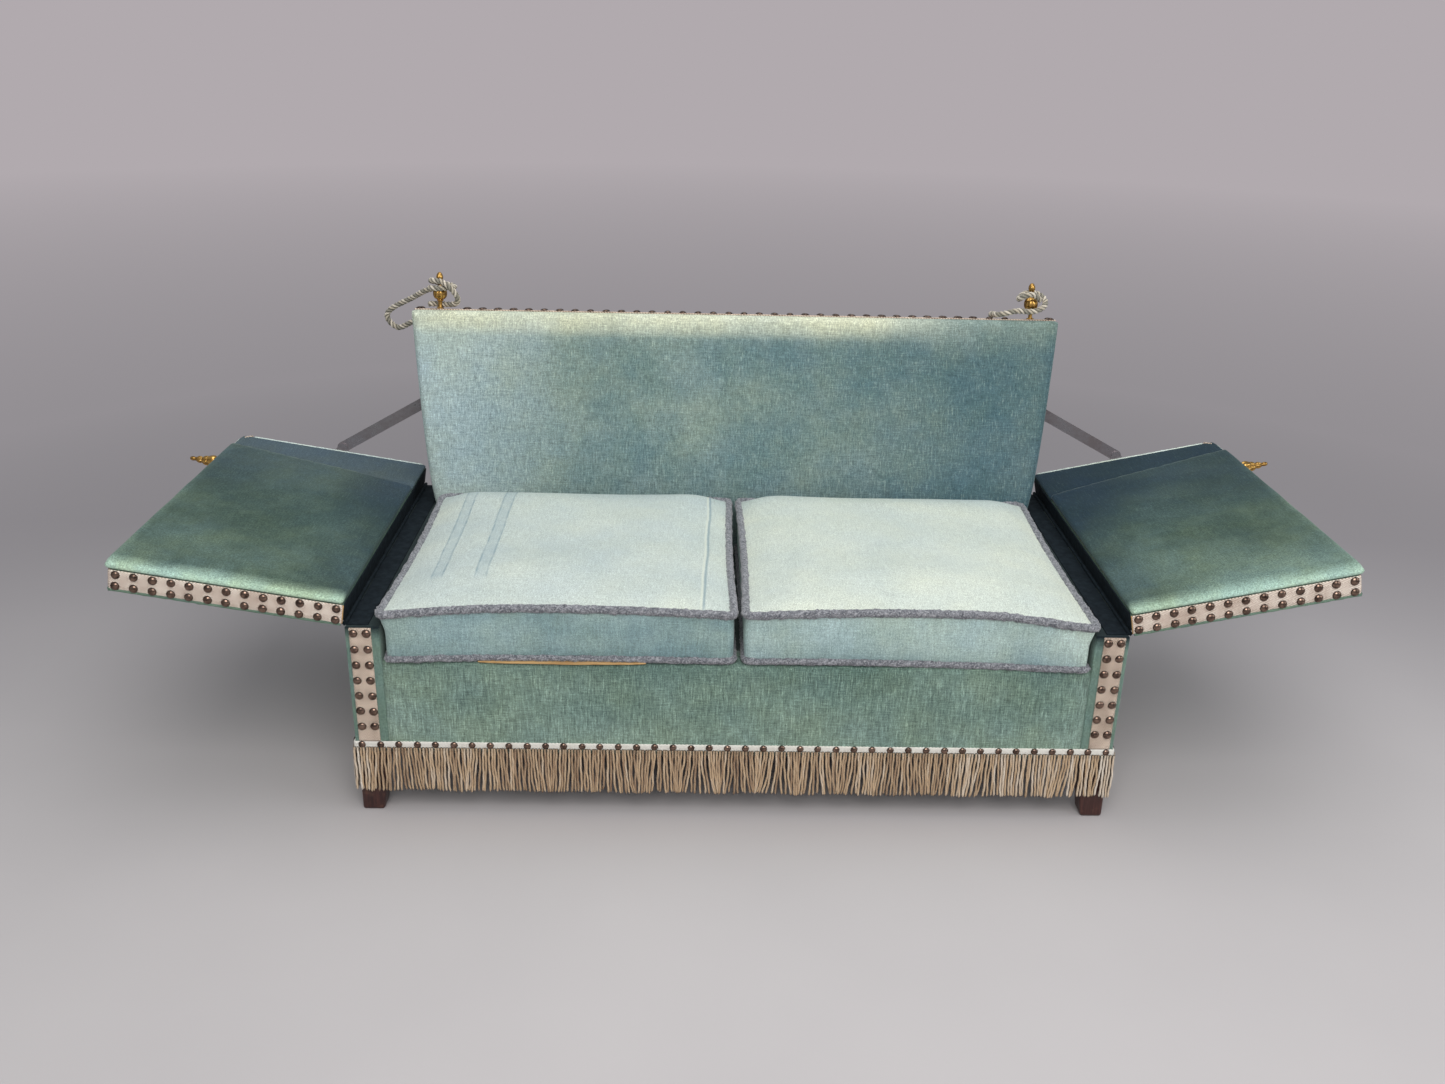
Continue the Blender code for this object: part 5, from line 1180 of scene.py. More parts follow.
def rearCover():
    corner = back["corner"]
    heights = [wallBottom, *rear["heights"], notchZ - 0.002]
    heights += [lerp(notchZ, rearTop - corner, i / 15) for i in range(16)]
    heights += [rearTop - corner * (1 - math.sin(math.pi / 2 * i / 5)) for i in range(1, 6)]
    outer, inner = [], []
    for height in heights:
        half = backHalf(height) - (0.0016 if height >= notchZ else -0.0012)
        over = min(max(height - (rearTop - corner), 0.0), corner * 0.999)
        half -= corner - math.sqrt(corner**2 - over**2)
        rise = (height - wallBottom) / (rearTop - wallBottom)
        for i in range(rear["columns"]):
            share = i / (rear["columns"] - 1)
            x = lerp(-half, half, share)
            puff = rear["puff"] * (hump(share) * hump(rise)) ** 0.35
            puff = min(puff + 0.0006 * ripple(x * 3, height * 4) * hump(share), rear["puff"])
            outer.append(Vector((x, depth - rear["outer"] + puff, height)))
            inner.append(Vector((x, depth - rear["inner"], height)))
    pale = [0.2 + 0.15 * ripple(point.x, point.z) for point in outer + inner]
    faces = flipped(slabFaces(len(heights), rear["columns"]))
    obj = addMesh("rearCover", outer + inner, faces, sofaMatrix, {"pale": pale, "deep": [0.35] * len(pale)})
    dress(obj, rearVelvet, "sofa", "dark_velvet", "rear_cover")


def rearGimps():  # narrow braid round the rear cover's edges, nailed at the foot and the lower sides
    topZ = rearTop - 0.010
    edges = [((-0.80, topZ), (0.662, topZ)), ((0.716, topZ), (backHalf(topZ) - 0.012, topZ))]
    for sign in (-1, 1):
        x = sign * (wallInner - 0.012)
        edges.append(((x, 0.196), (x, notchZ - 0.004)))
        for low, high in ((notchZ + 0.004, 0.672), (0.800, 0.93)):
            edges.append(((sign * (backHalf(low) - 0.013), low), (sign * (backHalf(high) - 0.013), high)))
    edges.append(((-wallInner + 0.004, 0.188), (wallInner - 0.004, 0.188)))
    edges = [(Vector((x, depth, z)), Vector((endX, depth, endZ))) for (x, z), (endX, endZ) in edges]
    for number, (start, end) in enumerate(edges):
        ahead = (end - start).normalized()
        over = ahead.cross(Vector((0, 1, 0)))
        wovenStrip(
            f"rearGimp{number + 1}", ((end - start).length, rear["gimpWidth"], rear["gimpThickness"]),
            lambda along, across, out: start + ahead * along + over * across + Vector((0, out - 0.0001, 0)),
            sofaMatrix, headingWeave, "sofa",
        )
    places = []
    for start, end in (edges[8], edges[2], edges[5]):
        count = round((end - start).length / rear["nailPitch"])
        half = (end - start) / count / 2
        lift = Vector((0, 0.0014, 0))
        places += nailRow(start + half + lift, end - half + lift, count - 1, (0, 1, 0), rear["nailRadius"],
                          rear["nailHeight"])
    nailHeads("rearNails", places, sofaMatrix, "sofa")


rearCover()
rearGimps()
print("back dressed")


# Drop arms. Each is made in its own frame: u out from the hinge, v back, w up from the outer face.

arm = {
    "rest": {"right": math.radians(12.2), "left": math.radians(9.0)},
    "length": 0.500, "heel": 0.0065, "depth": depth + 0.002, "tray": 0.0457, "padEdge": 0.513,
    "padTop": 0.064, "crown": 0.010, "stripTop": 0.0525, "cut": 0.014, "frontCorner": 0.014, "cell": 0.016,
    "creaseLead": 0.006, "nails": 13, "edgeNails": 23, "nailMargin": 0.013, "nailRows": 0.0285,
}
armLooks = {  # haze over the front, paler front roll (wear with a painted sheen), shade and coolness towards the rear
    "right": (0.24, 0.62, 0.80, 0.0),
    "left": (0.10, 0.98, 0.54, 0.09),
}
hinges = {
    joint["name"].split("_")[0]: joint
    for joint in frame["joints"] if joint["name"].endswith("arm_hinge")
}


def armMatrix(side, sign):
    place = hinges[side]["pos_m"]
    turn = Matrix.Rotation(-sign * arm["rest"][side], 4, "Y")
    return Matrix.Translation((place[0], frontY, place[2])) @ turn


def cutCorner(u, v, endU, endV, cut):
    over = (u - (endU - cut)) + (v - (endV - cut)) - cut
    return (u - over / 2, v - over / 2) if over > 0 else (u, v)


def creaseAt(u):
    return backFace(hingeZ + u) - arm["creaseLead"]


def armPad(side, sign, matrix):
    low = (arm["heel"], -0.0035, arm["tray"] + 0.0004)
    high = (arm["padEdge"], arm["depth"], arm["padTop"])
    radius = (high[2] - low[2]) / 2 - 0.0002
    us, vs = [[low[a] + place for place in stops(high[a] - low[a], radius, arm["cell"], 5)] for a in (0, 1)]
    ws = [low[2], low[2] + radius / 2, (low[2] + high[2]) / 2, high[2] - radius / 2, high[2]]
    dense = []
    for i, v in enumerate(vs):
        dense.append(v)
        if 0.64 < v < 0.88:  # closer lines where the crease runs
            dense.append((v + vs[i + 1]) / 2)
    points, faces = blockGrid(us, dense, ws)[:2]
    step = arm["padTop"] - arm["stripTop"]  # the pad stands this much over the strip behind the crease
    lift, roll, dusk, chill = armLooks[side]
    shaped, pale, deep, cool = [], [], [], []
    for point in points:
        u, v, w = roundOff(point, low, high, radius)
        u, v = cutCorner(u, v, high[0], high[1], arm["cut"])
        aside, behindFront = roundedCorner(high[0] - u, v - low[1], arm["frontCorner"])
        u, v = high[0] - aside, low[1] + behindFront
        crease = creaseAt(u)
        across = (u - arm["heel"]) / (arm["padEdge"] - arm["heel"])
        crown = arm["crown"] * hump(across) ** 0.7 * hump(min(v / crease, 1.0)) ** 0.5
        fall = 0.0075 * (1 - ease(0.0, 0.045, v)) ** 1.5
        behind = ease(crease - 0.006, crease + 0.002, v)
        groove = 0.0045 * math.exp(-(((v - crease - 0.002) / 0.005) ** 2))
        soft = 0.0014 * ripple(u * 4, v * 3) * (1 - behind)
        top = crown * (1 - behind) - fall - step * behind - groove + soft
        w += top * (w - low[2]) / (high[2] - low[2])
        front = 1 - ease(0.0, 0.038 * (1 + 0.35 * ripple(u * 3, 0.1) + 0.22 * ripple(u * 11, 0.7)), v)
        haze = 1 - ease(0.0, 0.32, v)
        rim = 1 - ease(0.0, 0.016, arm["padEdge"] - u)
        heel = 1 - ease(0.0, 0.20 + 0.05 * ripple(v * 2, 0.6), u)
        rearEdge = ease(arm["depth"] - 0.010, arm["depth"] - 0.002, v)
        fold = math.exp(-(((v - crease + 0.006) / 0.006) ** 2)) * ease(0.02, 0.2, u)
        cool.append(chill * behind * (1 - rearEdge) + 0.6 * chill * ease(0.45, 0.75, v))
        # the paler front roll is wear with a painted sheen on it
        worn = lift * haze + roll * front**1.2 + 0.22 * rim
        pale.append(min(0.03 + worn + 0.60 * rearEdge + 0.16 * fold, 1.0))
        dark = 0.55 * heel * (1 - front) + 0.75 * behind * (1 - rearEdge)
        dark += dusk * ease(0.30, 0.70, v) - 0.1 * rim
        deep.append(min(max(dark, 0.0), 1.0))
        shaped.append((sign * u, v, w))
    faces = flipped(faces) if sign < 0 else faces
    obj = addMesh(f"{side}ArmPad", shaped, faces, matrix, {"pale": pale, "deep": deep, "cool": cool})
    dress(obj, armVelvet, f"{side}_arm", "pale_velvet", f"{side}_arm_pad")


def armCover(side, sign, matrix):
    low, high = (arm["heel"] + 0.0001, 0.0, 0.0), (arm["length"], arm["depth"], arm["tray"])
    points, faces = softBlock(low, high, 0.004, 0.04)
    shaped, pale = [], []
    for u, v, w in points:
        u, v = cutCorner(u, v, high[0], high[1], arm["cut"])
        if w < 0.001:
            w -= 0.0012 * hump(u / arm["length"]) ** 0.5 * hump(v / arm["depth"]) ** 0.5
        pale.append(0.12 + 0.3 * (1 - ease(0.0, 0.02, v)) * (1 - ease(0.0, 0.01, w)))
        shaped.append((sign * u, v, w))
    faces = flipped(faces) if sign < 0 else faces
    obj = addMesh(f"{side}ArmCover", shaped, faces, matrix, {"pale": pale, "deep": [0.15] * len(pale)})
    dress(obj, coverVelvet, f"{side}_arm", "dark_velvet", f"{side}_arm_cover")


gusset = {"inner": 0.0052, "outer": 0.0062, "from": 2.0, "to": -86.0, "steps": 9, "rows": 30, "end": 0.004}


def hingeGusset(side, sign, matrix):  # dark cloth curved round the hinge's underside, turning with the arm; its near-black is painted shade for the hinge gap
    steps, rows = gusset["steps"], gusset["rows"]
    turns = [math.radians(lerp(gusset["from"], gusset["to"], k / steps)) for k in range(steps + 1)]
    ring = [(gusset["outer"] * math.cos(turn), gusset["outer"] * math.sin(turn)) for turn in turns]
    ring += [(gusset["inner"] * math.cos(turn), gusset["inner"] * math.sin(turn)) for turn in turns[::-1]]
    points = []
    for row in range(rows):
        v = lerp(gusset["end"], depth - gusset["end"], row / (rows - 1))
        points += [(sign * u, v, w) for u, w in ring]
    faces = tubeFaces(rows, len(ring))
    faces = flipped(faces) if sign < 0 else faces
    marks = {"pale": [0.0] * len(points), "deep": [0.5] * len(points)}
    obj = addMesh(f"{side}HingeGusset", points, faces, matrix, marks)
    dress(obj, gapShadeVelvet, f"{side}_arm", "dark_velvet")


armFinial = {"v": depth + 0.002 - 0.157, "length": 0.096, "radius": 0.0175}
armBraid = {
    "scallop": 0.0004, "frontNail": (0.0097, 0.0062), "edgeNail": (0.0092, 0.0052),
    "cornerWidth": 0.054, "cornerThickness": 0.0026, "cornerMiddle": 0.0285,
    "clear": 0.018,  # no nails this near the finial
}


def armTrim(side, sign, matrix):
    body = f"{side}_arm"
    heel, end, tray, scallop = arm["heel"], arm["length"], arm["tray"], armBraid["scallop"]
    middle = tray / 2
    rowHeights = [middle + row * arm["nailRows"] / 2 * 0.92 - 0.001 for row in (-1, 1)]
    wovenStrip(
        f"{side}FrontBand", (end - heel, tray - 0.001, braid["thickness"]),
        lambda along, across, out: (sign * (heel + along), -out, middle + across),
        matrix, braidAlong, body, (f"{side}_arm_front_band",), scallop,
    )
    places = []
    for i in range(arm["nails"]):
        u = lerp(heel + arm["nailMargin"], end - arm["nailMargin"], i / (arm["nails"] - 1))
        for w in rowHeights:
            places.append(((sign * u, -braid["nailOut"], w), (0, -1, 0), *armBraid["frontNail"]))
    edgeEnd = arm["depth"] - arm["cut"] - 0.004
    wovenStrip(
        f"{side}EdgeBraid", (edgeEnd - 0.0015, tray - 0.003, braid["thickness"]),
        lambda along, across, out: (sign * (end + out), 0.0015 + along, middle + across),
        matrix, braidSide, body, (f"{side}_arm_edge_braid",), scallop,
    )
    start = Vector((end + 0.0006, edgeEnd - 0.001, armBraid["cornerMiddle"]))
    stop = Vector((end - arm["cut"] - 0.001, arm["depth"] + 0.0008, armBraid["cornerMiddle"]))
    ahead = (stop - start).normalized()
    away = Vector((ahead.y, -ahead.x, 0))

    def cornerPlace(along, across, out):
        place = start + ahead * along + away * (out - braid["gap"])
        return sign * place.x, place.y, place.z + across

    size = (stop - start).length, armBraid["cornerWidth"], armBraid["cornerThickness"]
    wovenStrip(f"{side}CornerBraid", size, cornerPlace, matrix, braidSide, body)
    for i in range(arm["edgeNails"]):
        v = lerp(0.016, edgeEnd - 0.012, i / (arm["edgeNails"] - 1))
        if abs(v - armFinial["v"]) < armBraid["clear"]:
            continue
        for w in rowHeights:
            x = sign * (end + braid["nailOut"])
            places.append(((x, v, w), (sign, 0, 0), *armBraid["edgeNail"]))
    nailHeads(f"{side}ArmNails", places, matrix, body)


def lipTube(name, path, radius, matrix, body, fuzz, material, slot, tones):  # an uneven seam or piping
    def ring(index):
        size = radius * (1 + fuzz * 0.5 * math.sin(index * 1.7) * math.sin(index * 0.37))
        return [(size * math.cos(angle), size * math.sin(angle)) for angle in circle(10)]

    points, faces = sweep(path, ring)
    rough = seeds.normal(0.0, fuzz * radius * 0.35, (len(points), 3))
    points = [point + Vector(rough[i]) for i, point in enumerate(points)]
    marks = {mark: [value] * len(points) for mark, value in zip(("pale", "deep"), tones)}
    dress(addMesh(name, points, faces, matrix, marks), material, body, slot)


def armPipings(side, sign, matrix):
    heel, end, deep, pad = arm["heel"], arm["length"], arm["depth"], arm["padEdge"] - 0.001
    seam = linen, "linen", ()
    cover = coverVelvet, "dark_velvet"
    pale = palePiping, "pale_velvet"
    for name, start, stop, radius, fuzz, *look in (
        ("HeelSeam", (heel - 0.0004, -0.0012, 0.001), (heel - 0.0004, -0.0012, arm["tray"] - 0.001),
         0.0015, 0.2, *seam),
        ("FrontLip", (heel + 0.002, -0.0015, -0.0012), (end + 0.001, -0.0015, -0.0012),
         0.0034, 0.25, *cover, (0.35, 0.0)),
        ("EdgeLip", (end + 0.0015, 0.0, -0.0005), (end + 0.0015, deep - 0.02, -0.0005),
         0.0030, 0.2, *cover, (0.25, 0.0)),
        ("RearPiping", (end - 0.020, deep - 0.002, 0.0505), (heel + 0.01, deep - 0.002, 0.0505),
         0.0034, 0.2, *pale, (0.9, 0.0)),
        ("OuterPiping", (pad, 0.30, 0.0485), (pad, deep - 0.028, 0.0485),
         0.0022, 0.2, *pale, (0.5, 0.0)),
    ):
        path = evenPath([Vector((sign * u, v, w)) for u, v, w in (start, stop)], 0.008)
        lipTube(side + name, path, radius, matrix, f"{side}_arm", fuzz, *look)


# Gilt finials

finialGrid = {"sides": 32, "rows": 90, "foot": 0.0036}  # foot: height over the velvet


def finial(name, shape, size, matrix, body, node, ribs, ribDepth, twist):
    radius, length = size
    outline = [Vector((reach, 0.0, height)) for reach, height in shape]
    profile = [(max(point.x, 0.0), point.z) for point in smoothPath(outline, 1.0 / finialGrid["rows"])]
    points, groove = [], []
    for reach, height in profile:
        cut = ribDepth * ease(0.2, 0.5, reach) * ease(0.02, 0.10, height) * ease(1.0, 0.93, height)
        if height > 0.93 or height < 0.2:
            cut *= 0.3
        for angle in circle(finialGrid["sides"]):
            wave = 0.5 + 0.5 * math.cos(ribs * angle + twist * height * 2 * math.pi)
            wide = radius * reach * (1 - cut * (1 - wave) ** 2)
            points.append((wide * math.cos(angle), wide * math.sin(angle), length * height))
            groove.append(min(0.85 * (1 - wave) ** 3 * (cut > 0.02) + 0.5 * ease(0.5, 0.25, reach), 1.0))
    faces = flipped(gridFaces(len(profile), finialGrid["sides"], closed=True))
    dress(addMesh(name, points, faces, matrix, {"groove": groove}), gilt, body, "gilt_brass", node)


backFinialShape = (
    (0.00, 1.000), (0.18, 0.990), (0.37, 0.945), (0.48, 0.885), (0.46, 0.820), (0.34, 0.755),
    (0.26, 0.710), (0.30, 0.650), (0.46, 0.610), (0.76, 0.560), (0.96, 0.490), (1.00, 0.415),
    (0.95, 0.345), (0.74, 0.280), (0.46, 0.252), (0.50, 0.230), (0.38, 0.205), (0.29, 0.178),
    (0.29, 0.050), (0.48, 0.032), (0.48, 0.000), (0.00, 0.000),
)
armFinialShape = (
    (0.00, 1.000), (0.22, 0.980), (0.34, 0.915), (0.28, 0.850), (0.34, 0.815), (0.50, 0.765),
    (0.52, 0.705), (0.45, 0.665), (0.66, 0.605), (0.74, 0.540), (0.70, 0.520), (0.90, 0.455),
    (1.00, 0.375), (0.92, 0.310), (0.62, 0.250), (0.34, 0.190), (0.30, 0.060), (0.46, 0.035),
    (0.46, 0.000), (0.00, 0.000),
)
backFinial = {"length": 0.094, "radius": 0.0185, "y": 0.034}
for side, sign in (("right", 1), ("left", -1)):
    spot = backTopMatrix @ Matrix.Translation((sign * finialX, backFinial["y"], finialGrid["foot"]))
    size = backFinial["radius"], backFinial["length"]
    finial(f"{side}BackFinial", backFinialShape, size, spot, "sofa", f"back_{side}_finial", 10, 0.10, 0.0)
    matrix = armMatrix(side, sign)
    hingeGusset(side, sign, matrix)
    armPad(side, sign, matrix)
    armCover(side, sign, matrix)
    armTrim(side, sign, matrix)
    armPipings(side, sign, matrix)
    foot = sign * (arm["length"] + finialGrid["foot"]), armFinial["v"], arm["tray"] / 2
    spot = matrix @ Matrix.Translation(foot) @ Matrix.Rotation(sign * math.pi / 2, 4, "Y")
    size = armFinial["radius"], armFinial["length"]
    finial(f"{side}ArmFinial", armFinialShape, size, spot, f"{side}_arm", f"{side}_arm_finial", 6, 0.30, 0.9)
print("arms and finials dressed")


# Seat cushions: seams held, the cloth between them blown up, piping laid on the seams

cushion = {
    "inner": 0.0035, "outer": wallInner - 0.0045, "front": -0.002, "rear": 0.688,
    "bottom": 0.3853, "box": 0.118, "piping": 0.0084, "cord": (0.0084, 0.0098), "corner": 0.025,
    "drawnIn": 0.013, "rise": 0.007, "cornerForward": 0.015, "rearRise": 0.010, "rearLean": 0.018,
    "cell": 0.0145, "boxRows": 7, "crown": 0.030, "most": 0.014, "highest": 0.556, "softCap": 0.012,
    "boxMost": 0.0065, "pressure": 4.0, "stiffness": 18, "frames": 20, "margin": 0.0005,
}
cushionSides = {  # sag of the outer front corner, a shift for the ripples, paleness of the top and of the box
    "right": (0.013, 0.0, 0.78, (0.50, 0.30)),
    "left": (0.002, 1.7, 0.36, (0.08, 0.12)),
}
seamLow = cushion["bottom"] + cushion["piping"]
seamHigh = cushion["bottom"] + cushion["box"]
planLow = cushion["inner"] + cushion["piping"], cushion["front"] + cushion["piping"]
planHigh = cushion["outer"] - cushion["piping"], cushion["rear"] - cushion["piping"]
planRadius = cushion["corner"] - cushion["piping"]


def cushionWarp(x, y, z, sag):  # x from the middle of the sofa outwards
    acrossShare = (x - cushion["inner"]) / (cushion["outer"] - cushion["inner"])
    deepShare = (y - cushion["front"]) / (cushion["rear"] - cushion["front"])
    level = min(max((z - seamLow) / (seamHigh - seamLow), 0.0), 1.0)
    drawn = cushion["drawnIn"] * lerp(0.3, 1.0, level)
    front, rear = max(1 - deepShare, 0.0) ** 3, max(deepShare, 0.0) ** 3
    y += drawn * hump(acrossShare) ** 0.8 * front - 0.5 * drawn * hump(acrossShare) * rear
    x += 0.5 * drawn * hump(deepShare) * (max(1 - acrossShare, 0.0) ** 3 - max(acrossShare, 0.0) ** 3)
    corner = ease(0.70, 1.0, acrossShare) * front ** 0.6
    x += 0.012 * corner * ease(0.55, 0.95, level)
    y -= cushion["cornerForward"] * corner * lerp(0.7, 1.0, level)
    x += 0.010 * ease(0.70, 1.0, acrossShare) * (1 - ease(-0.02, 0.02, y)) * (1 - 0.6 * level)
    z += cushion["rise"] * level * hump(acrossShare) * front
    z -= sag * level * corner
    z -= 0.5 * sag * (1 - level) * ease(0.2, 0.9, acrossShare) * front**2
    z += cushion["rearRise"] * level * rear
    y += cushion["rearLean"] * level * rear
    return x, y, z


def crownAt(x, y):  # plump close to the seams, most of all along the back
    def rise(distance, reach, power=2.2):
        return 1 - (1 - min(max(distance / reach, 0.0), 1.0)) ** power

    sides = rise(x - planLow[0], 0.12) * rise(planHigh[0] - x, 0.12)
    deepShare = (y - planLow[1]) / (planHigh[1] - planLow[1])
    ends = rise(y - planLow[1], 0.14) * rise(planHigh[1] - y, 0.06, 2.4)
    return cushion["crown"] * sides * ends * (0.85 + 0.42 * deepShare)


def planCorner(x, y):  # pulls a place in the cushion's plan onto its rounded corners
    innerX = min(max(x, planLow[0] + planRadius), planHigh[0] - planRadius)
    innerY = min(max(y, planLow[1] + planRadius), planHigh[1] - planRadius)
    dx, dy = (x - innerX) / planRadius, (y - innerY) / planRadius
    if dx and dy:
        share = max(abs(dx), abs(dy)) / math.hypot(dx, dy)
        dx, dy = dx * share, dy * share
    return innerX + dx * planRadius, innerY + dy * planRadius


def seamPath(height, sag, sign, step=0.0055):
    left, right = planLow[0] + planRadius, planHigh[0] - planRadius
    front, back = planLow[1] + planRadius, planHigh[1] - planRadius
    path = []
    for corner, (cornerX, cornerY) in enumerate(((right, back), (left, back), (left, front), (right, front))):
        for k in range(9):
            angle = math.pi / 2 * (corner + k / 8)
            path.append((cornerX + planRadius * math.cos(angle), cornerY + planRadius * math.sin(angle)))
    dense = []
    for (x, y), (nextX, nextY) in zip(path, path[1:] + path[:1]):
        count = max(1, round(math.hypot(nextX - x, nextY - y) / 0.02))
        dense += [(lerp(x, nextX, k / count), lerp(y, nextY, k / count)) for k in range(count)]
    warped = [cushionWarp(x, y, height, sag) for x, y in dense]
    loop = [Vector((sign * x, y, z)) for x, y, z in warped]
    return evenPath(loop + [loop[0]], step)[:-1]


def softPiping(name, path, radius, body):
    def ring(index):
        outline = []
        for angle in circle(12):
            size = radius * (0.94 + 0.05 * math.sin(3 * angle + index * 0.42))
            outline.append((size * math.cos(angle), size * math.sin(angle)))
        return outline

    points, faces = sweep(path, ring, closed=True)
    rough = seeds.normal(0.0, 0.0009, (len(points), 3))
    points = [point + Vector(rough[i]) for i, point in enumerate(points)]
    tone = np.clip(seeds.normal(0.5, 0.3, len(points)), 0, 1)
    groove = np.clip(seeds.normal(0.15, 0.2, len(points)), 0, 1)
    obj = addMesh(name, points, faces, sofaMatrix, {"tone": tone, "groove": groove})
    dress(obj, pipingYarn, body, "pale_velvet")


def blowUp(obj, held):  # a short cloth run with air pressure inside
    group = obj.vertex_groups.new(name="seams")
    group.add(held, 1.0, "REPLACE")
    cloth = obj.modifiers.new("cloth", "CLOTH")
    cloth.settings.quality = 6
    cloth.settings.use_pressure = True
    cloth.settings.uniform_pressure_force = cushion["pressure"]
    cloth.settings.vertex_group_mass = "seams"
    cloth.settings.tension_stiffness = cloth.settings.compression_stiffness = cushion["stiffness"]
    cloth.settings.bending_stiffness = 0.8
    cloth.settings.effector_weights.gravity = 0
    cloth.collision_settings.use_collision = False
    cloth.point_cache.frame_start, cloth.point_cache.frame_end = 1, cushion["frames"]
    for number in range(1, cushion["frames"] + 1):
        bpy.context.scene.frame_set(number)
    settled = obj.evaluated_get(bpy.context.evaluated_depsgraph_get())
    places = [vertex.co.copy() for vertex in settled.data.vertices]
    obj.modifiers.remove(cloth)
    bpy.context.scene.frame_set(1)
    return places


streaks = {
    "bands": (-0.680, -0.580), "half": 0.0125, "start": 0.12, "end": 0.66,
    "creaseFront": -0.083, "creaseRear": -0.065, "tone": shade(118, 142, 154),
}


def faded(tree, value, middle, half, soft):  # 1 within half of the middle, softly 0 outside
    return ranged(tree, calc(tree, "ABSOLUTE", minus(tree, value, middle)), half + soft, half)


def rubbedBands(material):  # two rubbed bands down the left cushion's top, and a crease drawn as a painted highlight beside a painted shade line
    tree = material.node_tree
    shader = tree.nodes["Principled BSDF"]
    colour = shader.inputs["Base Color"].links[0].from_socket
    worn, deep = [shade(*tone) for tone in velvetTones["cushion"][1:]]
    place = objectPlace(tree)
    parts = put(tree, "SeparateXYZ", {0: place}).outputs
    wander = times(tree, minus(tree, clouds(tree, place, 9.0, 2.0), 0.5), 0.006)
    across = plus(tree, parts[0], wander)
    begun = ranged(tree, parts[1], streaks["start"] - 0.01, streaks["start"] + 0.02)
    ended = ranged(tree, parts[1], streaks["end"] + 0.02, streaks["end"] - 0.02)
    patchy = ranged(tree, clouds(tree, place, 30.0, 3.0), 0.3, 0.6, 0.35, 1.0)
    share = times(tree, times(tree, begun, ended), patchy)
    for middle in streaks["bands"]:
        band = faded(tree, across, middle, streaks["half"] - 0.002, 0.004)
        away = calc(tree, "ABSOLUTE", minus(tree, across, middle))
        line = faded(tree, away, streaks["half"], 0.0008, 0.0024)
        colour = mixed(tree, times(tree, times(tree, band, share), 0.34), colour, deep)
        colour = mixed(tree, times(tree, times(tree, line, share), 0.60), colour, streaks["tone"])
    crease = ranged(tree, parts[1], 0.0, 0.59, streaks["creaseFront"], streaks["creaseRear"])
    # the crease: a painted highlight line beside a painted shade line
    for shift, tone, strength in ((-0.003, worn, 0.7), (0.003, streaks["tone"], 0.6)):
        line = faded(tree, across, plus(tree, crease, shift), 0.0012, 0.0028)
        line = times(tree, line, ranged(tree, parts[1], 0.0, 0.04))
        colour = mixed(tree, times(tree, line, strength), colour, tone)
    tree.links.new(colour, shader.inputs["Base Color"])


rubbedBands(leftTopVelvet)


def blownPlace(place, start, ended, turn):  # where the cloth run takes a point, kept within bounds
    x, y, z = place
    most, low = cushion["most"], y - planLow[1]
    move = ended - start
    if z > seamHigh - cushion["margin"]:
        move.z = min(max(move.z, 0.0), most + 0.006)
        move.z = most * (1 - math.exp(-move.z / most * 1.6))
        move.x, move.y = move.x * 0.3, move.y * 0.3
        soft = ease(0.0, 0.10, min(x - planLow[0], planHigh[0] - x, low, planHigh[1] - y))
        move.z += 0.0028 * ripple(x * 1.7 + turn, y * 1.9) * soft
        gathers = 0.5 + 0.5 * math.sin(x * 90 + 4 * ripple(x, y))
        move.z -= 0.0016 * gathers * (1 - ease(0.0, 0.05, low)) * ease(0.0, 0.012, low)
    elif z < seamLow + cushion["margin"]:
        move = Vector((0, 0, max(move.z, cushion["bottom"] - start.z)))
    else:
        if move.length > cushion["boxMost"]:
            move *= cushion["boxMost"] / move.length
        move *= 0.8
        if start.y + move.y > 0.3 and y > planHigh[1] - 0.001:
            move.y = min(move.y, 0.004)
    result = start + move
    cap = cushion["softCap"]
    over = result.z - (cushion["highest"] - cap)
    if over > 0:
        result.z -= over - cap * (1 - math.exp(-over / cap))
    result.z = max(result.z, cushion["bottom"] + 0.0002)
    return result


def cushionTones(places, topPaleness, boxPaleness, turn):
    pale, deep = [], []
    for x, y, z in places:
        if z > seamHigh - cushion["margin"]:
            edge = 1 - ease(0.0, 0.07, min(x - planLow[0], planHigh[0] - x, y - planLow[1]))
            light = topPaleness + 0.25 * edge + 0.12 * ripple(x * 2 + turn, y * 2)
            pale.append(min(max(light, 0.0), 1.0))
            deep.append(0.10 + 0.22 * (1 - ease(0.0, 0.16, planHigh[1] - y)))
        else:
            acrossShare = (x - planLow[0]) / (planHigh[0] - planLow[0])
            worn = ease(0.80, 0.97, acrossShare) if y < 0.05 else 0.2
            pale.append(0.10 + 0.10 * ripple(x * 3, z * 9) + (boxPaleness[0] + boxPaleness[1] * worn))
            deep.append(0.12 + 0.25 * (1 - ease(seamLow, seamLow + 0.05, z)))
    return {"pale": pale, "deep": deep}


